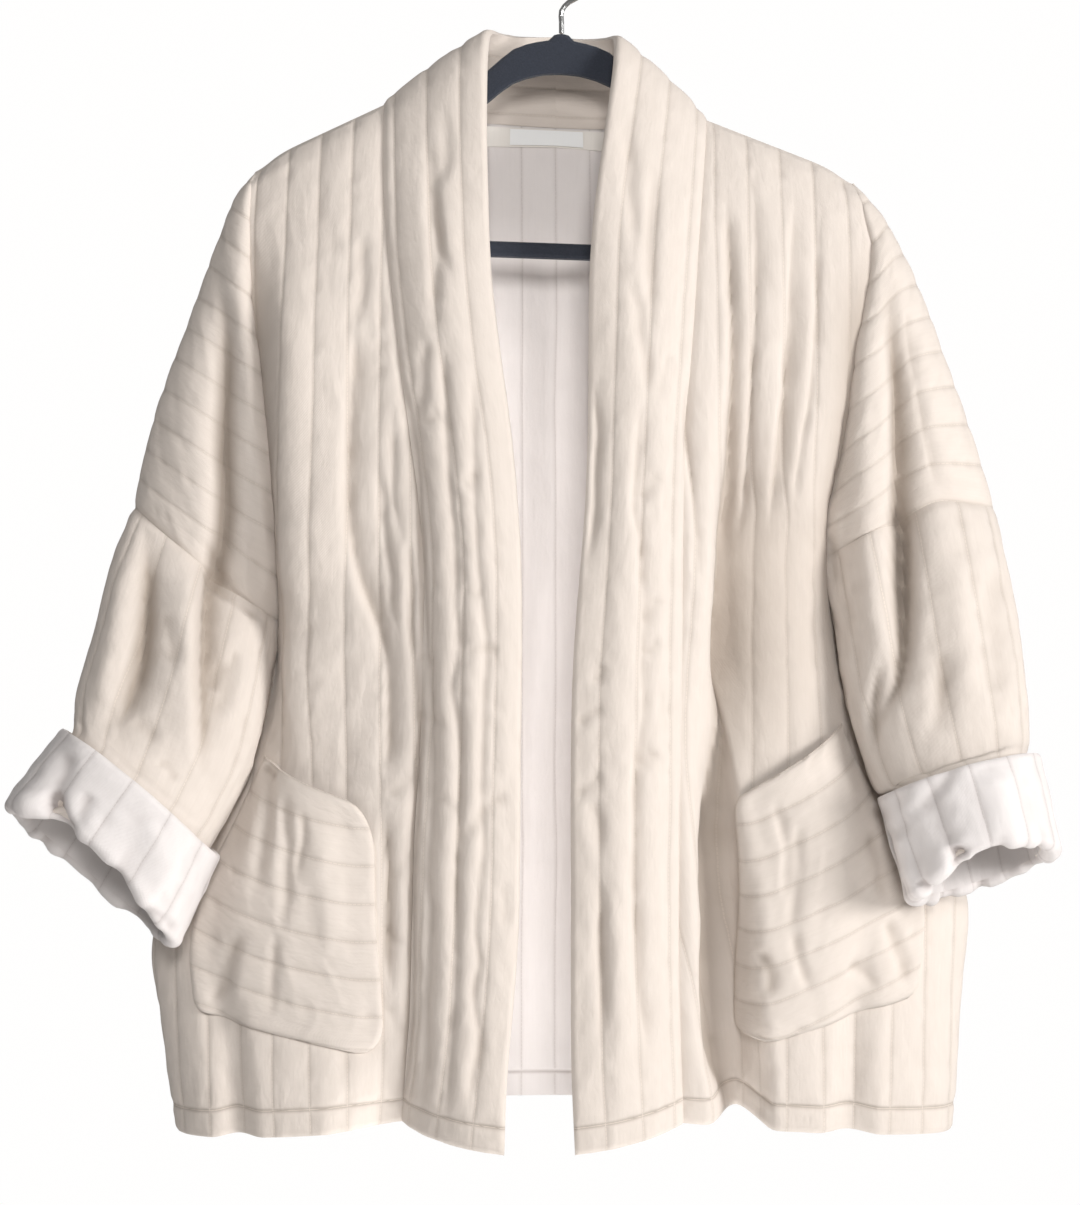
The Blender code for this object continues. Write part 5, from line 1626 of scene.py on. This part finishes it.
def make_weave_group():
    """Plain weave of slubby yarn: height of the threads, crinkle of the gauze and mottle."""
    inputs = {"Thread Width": WEAVE_THREAD, "Crinkle": 1.0}
    group, start, end = new_group("gauze weave", inputs, ("Height", "Mottle"))
    node = partial(math_node, group)
    place, u, v = cloth_place(group)
    rate = node("DIVIDE", math.pi, start.outputs["Thread Width"])
    warp = node("SINE", node("MULTIPLY", u, rate))
    weft = node("SINE", node("MULTIPLY", v, rate))
    threads = node("MULTIPLY", node("MULTIPLY", warp, weft), WEAVE_HEIGHT)
    fine = cloth_noise(group, place, FINE_CRINKLE)
    broad = cloth_noise(group, place, BROAD_CRINKLE)
    slub = cloth_noise(group, place, SLUBS)
    fine_height = node("MULTIPLY", fine, FINE_CRINKLE.height)
    broad_height = node("MULTIPLY", broad, BROAD_CRINKLE.height)
    fold = node("ABSOLUTE", node("SUBTRACT", cloth_noise(group, place, GAUZE_FOLDS), 0.5))
    patchy = node("MULTIPLY", cloth_noise(group, place, FOLDED_PLACES), GAUZE_FOLDS.height)
    crinkle = node("ADD", node("ADD", fine_height, broad_height), node("MULTIPLY", fold, patchy))
    crinkle = node("MULTIPLY", crinkle, start.outputs["Crinkle"])
    group.links.new(node("ADD", threads, crinkle), end.inputs["Height"])
    mottle = node("ADD", node("MULTIPLY", broad, 0.5), node("MULTIPLY", slub, 0.5))
    group.links.new(mottle, end.inputs["Mottle"])
    return group


def make_stitch_group():
    """Lines of stitching: the thread with its gaps, and the groove with its painted shade."""
    inputs = {
        "Spacing": CHANNEL, "Thread Width": STITCH_THREAD, "Stitch Length": STITCH_LENGTH,
        "Groove": GROOVE_WIDTH, "Channel Shade": CHANNEL_SHADE, "Single Shade": SINGLE_SHADE,
    }
    group, start, end = new_group("quilted stitching", inputs, ("Thread", "Shade", "Height"))
    node = partial(math_node, group)
    place, u, v = cloth_place(group)
    stray = node("SUBTRACT", cloth_noise(group, place, STITCH_STRAY), 0.5)
    stray = node("MULTIPLY", stray, STITCH_STRAY.height)
    half = node("MULTIPLY", start.outputs["Spacing"], 0.5)
    channel = node("PINGPONG", node("ADD", u, stray), half)
    alone = node("ABSOLUTE", attribute_value(group, "single_line"))
    distance = node("MINIMUM", channel, alone)
    shades = []
    for away, share in ((channel, "Channel Shade"), (alone, "Single Shade")):
        groove = node("DIVIDE", away, start.outputs["Groove"])
        fall = node("MULTIPLY", node("MULTIPLY", groove, groove), -1.0)
        shades.append(node("MULTIPLY", node("EXPONENT", fall), start.outputs[share]))
    shade = node("MAXIMUM", *shades)
    near = node("LESS_THAN", distance, node("MULTIPLY", start.outputs["Thread Width"], 0.5))
    beat = node("PINGPONG", v, node("MULTIPLY", start.outputs["Stitch Length"], 0.5))
    sewn = node("GREATER_THAN", beat, node("MULTIPLY", start.outputs["Stitch Length"], STITCH_GAP))
    thread = node("MULTIPLY", near, sewn)
    dip = node("MULTIPLY", shade, -GROOVE_DEPTH)
    height = node("ADD", dip, node("MULTIPLY", thread, STITCH_HEIGHT))
    for name, value in (("Thread", thread), ("Shade", shade), ("Height", height)):
        group.links.new(value, end.inputs[name])
    return group


def place_group(tree, group, **values):
    """A node group in a material, with its own values."""
    node = tree.nodes.new("ShaderNodeGroup")
    node.node_tree = group
    for name, value in values.items():
        node.inputs[name.replace("_", " ")].default_value = value
    return node


def mix_colour(tree, share, first, second):
    """A mix of two colours, each set or linked."""
    node = tree.nodes.new("ShaderNodeMix")
    node.data_type = "RGBA"
    tree.links.new(share, node.inputs["Factor"])
    for socket, value in ((node.inputs[6], first), (node.inputs[7], second)):
        if isinstance(value, tuple):
            socket.default_value = (*value, 1.0)
        else:
            tree.links.new(value, socket)
    return node.outputs[2]


def bump_normal(tree, height, strength):
    """A normal from a height in metres."""
    bump = tree.nodes.new("ShaderNodeBump")
    bump.inputs["Distance"].default_value = 1.0
    bump.inputs["Strength"].default_value = strength
    tree.links.new(height, bump.inputs["Height"])
    return bump.outputs["Normal"]


def new_material(name, **values):
    """A material with nodes, and its shader with plain values."""
    material = bpy.data.materials.new(name)
    material.use_nodes = True
    shader = material.node_tree.nodes["Principled BSDF"]
    for socket, value in values.items():
        shader.inputs[socket.replace("_", " ")].default_value = value
    return material, material.node_tree, shader


def cloth_material(name, finish, weave, stitching, quilted=True):
    """Quilted cotton: mottled yarn, painted shade in the grooves and hollows, thread, nap and crinkle."""
    material, tree, shader = new_material(
        name, Roughness=finish.roughness, Sheen_Weight=finish.sheen,
        Sheen_Roughness=CLOTH_SHEEN_ROUGHNESS, Specular_IOR_Level=CLOTH_SPECULAR)
    woven = place_group(tree, weave, Thread_Width=finish.thread_width, Crinkle=finish.crinkle)
    colour = mix_colour(tree, woven.outputs["Mottle"], finish.dark, finish.light)
    height = woven.outputs["Height"]
    if quilted:
        sewn = place_group(tree, stitching)
        # painted shade in the grooves of the stitching, then the thread
        colour = mix_colour(tree, sewn.outputs["Shade"], colour, finish.groove)
        colour = mix_colour(tree, sewn.outputs["Thread"], colour, finish.thread)
        height = math_node(tree, "ADD", height, sewn.outputs["Height"])
    # painted shade in hollows, on fold walls and beside the arms, towards the groove colour
    hollow = math_node(tree, "MULTIPLY", attribute_value(tree, "hollow"), HOLLOW_SHADE)
    colour = mix_colour(tree, hollow, colour, finish.groove)
    tree.links.new(colour, shader.inputs["Base Color"])
    tree.links.new(bump_normal(tree, height, CLOTH_RELIEF), shader.inputs["Normal"])
    return material


def mottled(tree, shader, dark, light, scale, detail=2.0, place="Object"):
    """Noise over a hard surface, as a mix of two base colours."""
    where = tree.nodes.new("ShaderNodeTexCoord")
    noise = tree.nodes.new("ShaderNodeTexNoise")
    noise.inputs["Scale"].default_value = scale
    noise.inputs["Detail"].default_value = detail
    tree.links.new(where.outputs[place], noise.inputs["Vector"])
    colour = mix_colour(tree, noise.outputs["Fac"], dark, light)
    tree.links.new(colour, shader.inputs["Base Color"])
    return noise.outputs["Fac"]


def flock_material():
    """Navy flock with a short nap."""
    material, tree, shader = new_material(
        "navy flock", Roughness=FLOCK_ROUGHNESS, Sheen_Weight=FLOCK_SHEEN,
        Sheen_Roughness=FLOCK_SHEEN_ROUGHNESS)
    nap = mottled(tree, shader, NAVY_DARK, NAVY_LIGHT, FLOCK_NAP, FLOCK_DETAIL)
    height = math_node(tree, "MULTIPLY", nap, FLOCK_HEIGHT)
    tree.links.new(bump_normal(tree, height, FLOCK_RELIEF), shader.inputs["Normal"])
    return material


def steel_material():
    """Bright wire, a little worn."""
    material, tree, shader = new_material("bright steel", Roughness=STEEL_ROUGHNESS, Metallic=1.0)
    mottled(tree, shader, STEEL_DARK, STEEL_LIGHT, STEEL_WEAR)
    return material


def finish_hard_parts():
    """Flock on the hanger and bright wire for its hook."""
    for node, material in (("hanger", flock_material()), ("hanger_hook", steel_material())):
        mesh = bpy.data.objects[node].data
        mesh.materials.clear()
        mesh.materials.append(material)


def add_camera():
    """The camera, straight in front of the coat."""
    camera = bpy.data.cameras.new("camera")
    camera.sensor_width = SENSOR * MILLIMETRES
    camera.lens = FOCAL_PIXELS / IMAGE_SIZE[1] * SENSOR * MILLIMETRES
    seen = new_object("camera", camera)
    seen.location = CAMERA_PLACE
    seen.rotation_euler = (0.5 * math.pi, 0.0, 0.0)
    bpy.context.scene.camera = seen


def add_lamps():
    """Soft lamps that the camera does not see."""
    for lamp in LAMPS:
        data = bpy.data.lights.new(lamp.name, "AREA")
        data.shape = "RECTANGLE"
        data.size, data.size_y = lamp.size
        data.energy = lamp.power
        light = new_object(lamp.name, data)
        light.location = lamp.place
        light.visible_camera = False
        way = Vector(lamp.aim) - Vector(lamp.place)
        light.rotation_euler = way.to_track_quat("-Z", "Y").to_euler()


def add_surround():
    """A near-white surround, which lights the coat less than the camera sees it."""
    world = bpy.data.worlds.new("surround")
    bpy.context.scene.world = world
    world.use_nodes = True
    tree = world.node_tree
    backdrop = tree.nodes["Background"]
    backdrop.inputs["Color"].default_value = (*SURROUND, 1.0)
    seen = tree.nodes.new("ShaderNodeLightPath").outputs["Is Camera Ray"]
    strength = math_node(tree, "MULTIPLY_ADD", seen, SEEN_STRENGTH - WORLD_STRENGTH, WORLD_STRENGTH)
    tree.links.new(strength, backdrop.inputs["Strength"])
    bpy.context.scene.view_settings.view_transform = "Standard"


def add_floor():
    """A pale floor below the picture."""
    half = 0.5 * FLOOR_SIZE
    corners = [(x, y, FLOOR_Z) for x, y in ((-half, -half), (half, -half), (half, half), (-half, half))]
    mesh = bpy.data.meshes.new("floor")
    mesh.from_pydata(corners, [], [(0, 1, 2, 3)])
    material, tree, shader = new_material("pale floor", Roughness=FLOOR_ROUGHNESS)
    mottled(tree, shader, FLOOR_DARK, FLOOR_LIGHT, FLOOR_GRAIN, place="Generated")
    mesh.materials.append(material)
    new_object("floor", mesh)


# Cuts of the cloth pieces, laid flat: width, length and area
Cut = namedtuple("Cut", "width length area")

# What a piece is cut from: half its thickness, its two faces and its material's slot
Cloth = namedtuple("Cloth", "half_wall outer inner slot")


def hang_piece(node, patches, cloth):
    """One cut piece in place of its solid."""
    piece = add_piece(node + "_cloth", node, patches, cloth)


def make_patches():
    """Every sewn piece as patches, with the normals that neighbours share."""
    fronts = {}
    front_arms = {}
    back_arms = {}
    sleeves = {}
    cuffs = {}
    collars = {}
    halves = {}
    for side in SIDES:
        on_right = side == "right"
        body = front_form(side)
        halves[side] = back_form(side)
        rings = sleeve_form(side, body)
        fronts[side] = Patch(body, on_right)
        front_arms[side] = Patch(arm_form(side, body, -1.0), on_right)
        back_arms[side] = Patch(arm_form(side, halves[side], 1.0), not on_right)
        sleeves[side] = Patch(rings, on_right, closed=True)
        cuffs[side] = Patch(cuff_form(rings), on_right, closed=True)
        collars[side] = Patch(collar_form(side, body), not on_right)
    back = Patch(np.concatenate([halves["right"][:, ::-1], halves["left"][:, 1:]], axis=1), True)
    groups = (fronts, front_arms, back_arms, sleeves, cuffs, collars)
    patches = [group[side] for group in groups for side in SIDES] + [back]
    for patch in patches:
        patch.points = rounded_tips(patch.points)
    for side in SIDES:
        down = arc_down(front_arms[side].points)[:, ARM_COLUMNS // 2]
        bow_seam(side, front_arms[side].points, down[-1] - down, BOW_ABOVE)
        down = arc_down(sleeves[side].points)[:, ARM_COLUMNS // 2]
        bow_seam(side, sleeves[side].points[:, :ARM_COLUMNS + 1], down, BOW_BELOW)
    share_normals(patches)
    for side in SIDES:
        fronts[side].normal[0] = shoulder_rise(side)
        cuffs[side].turn_over()
    back.normal[0, :BACK_COLUMNS + 1] = shoulder_rise("right")
    back.normal[0, -BACK_COLUMNS - 1:] = shoulder_rise("left")
    for side in SIDES:
        quilt_front(side, fronts[side], SEEDS["front_" + side])
        quilt_arm(side, front_arms[side], -1.0, SEEDS["front_arm_" + side])
        quilt_arm(side, back_arms[side], 1.0, SEEDS["back_arm_" + side])
        quilt_sleeve(side, sleeves[side], SEEDS["sleeve_" + side])
        quilt_cuff(side, cuffs[side], SEEDS["cuff_" + side])
        quilt_collar(side, collars[side], SEEDS["collar_" + side])
    quilt_back(back, SEEDS["back"])
    return fronts, front_arms, back, back_arms, sleeves, cuffs, collars


weave = make_weave_group()
stitching = make_stitch_group()
gauze = cloth_material("oatmeal gauze", GAUZE, weave, stitching)
lining = cloth_material("pale lining", LINING, weave, stitching)
tape = cloth_material("neck tape", TAPE, weave, stitching, quilted=False)
satin = cloth_material("blank label", LABEL, weave, stitching, quilted=False)
quilted_cloth = Cloth(HALF_WALL, gauze, lining, "oatmeal_gauze")
turned_cloth = Cloth(HALF_WALL, lining, gauze, "pale_lining")
doubled_cloth = Cloth(BAND_HALF_WALL, gauze, gauze, "oatmeal_gauze")
tape_cloth = Cloth(TAPE_HALF_WALL, tape, tape, "oatmeal_gauze")
label_cloth = Cloth(LABEL_HALF_WALL, satin, satin, "label_weave")

fronts, front_arms, back, back_arms, sleeves, cuffs, collars = make_patches()
hang_piece("back", [back, back_arms["right"], back_arms["left"]], quilted_cloth)
for side in SIDES:
    hang_piece("front_" + side, [fronts[side], front_arms[side]], quilted_cloth)
    hang_piece("sleeve_" + side, [sleeves[side]], quilted_cloth)
    hang_piece("cuff_" + side, [cuffs[side]], turned_cloth)
    hang_piece("collar_" + side, [collars[side]], doubled_cloth)
    hang_piece("pocket_" + side, [pocket_patch(side, fronts[side], SEEDS["pocket_" + side])], quilted_cloth)
hang_piece("neck_tape", [strip_patch(NECK_TAPE, back, TAPE_LIFT)], tape_cloth)
hang_piece("neck_label", [strip_patch(NECK_LABEL, back, LABEL_LIFT)], label_cloth)

finish_hard_parts()
add_camera()
add_lamps()
add_surround()
add_floor()
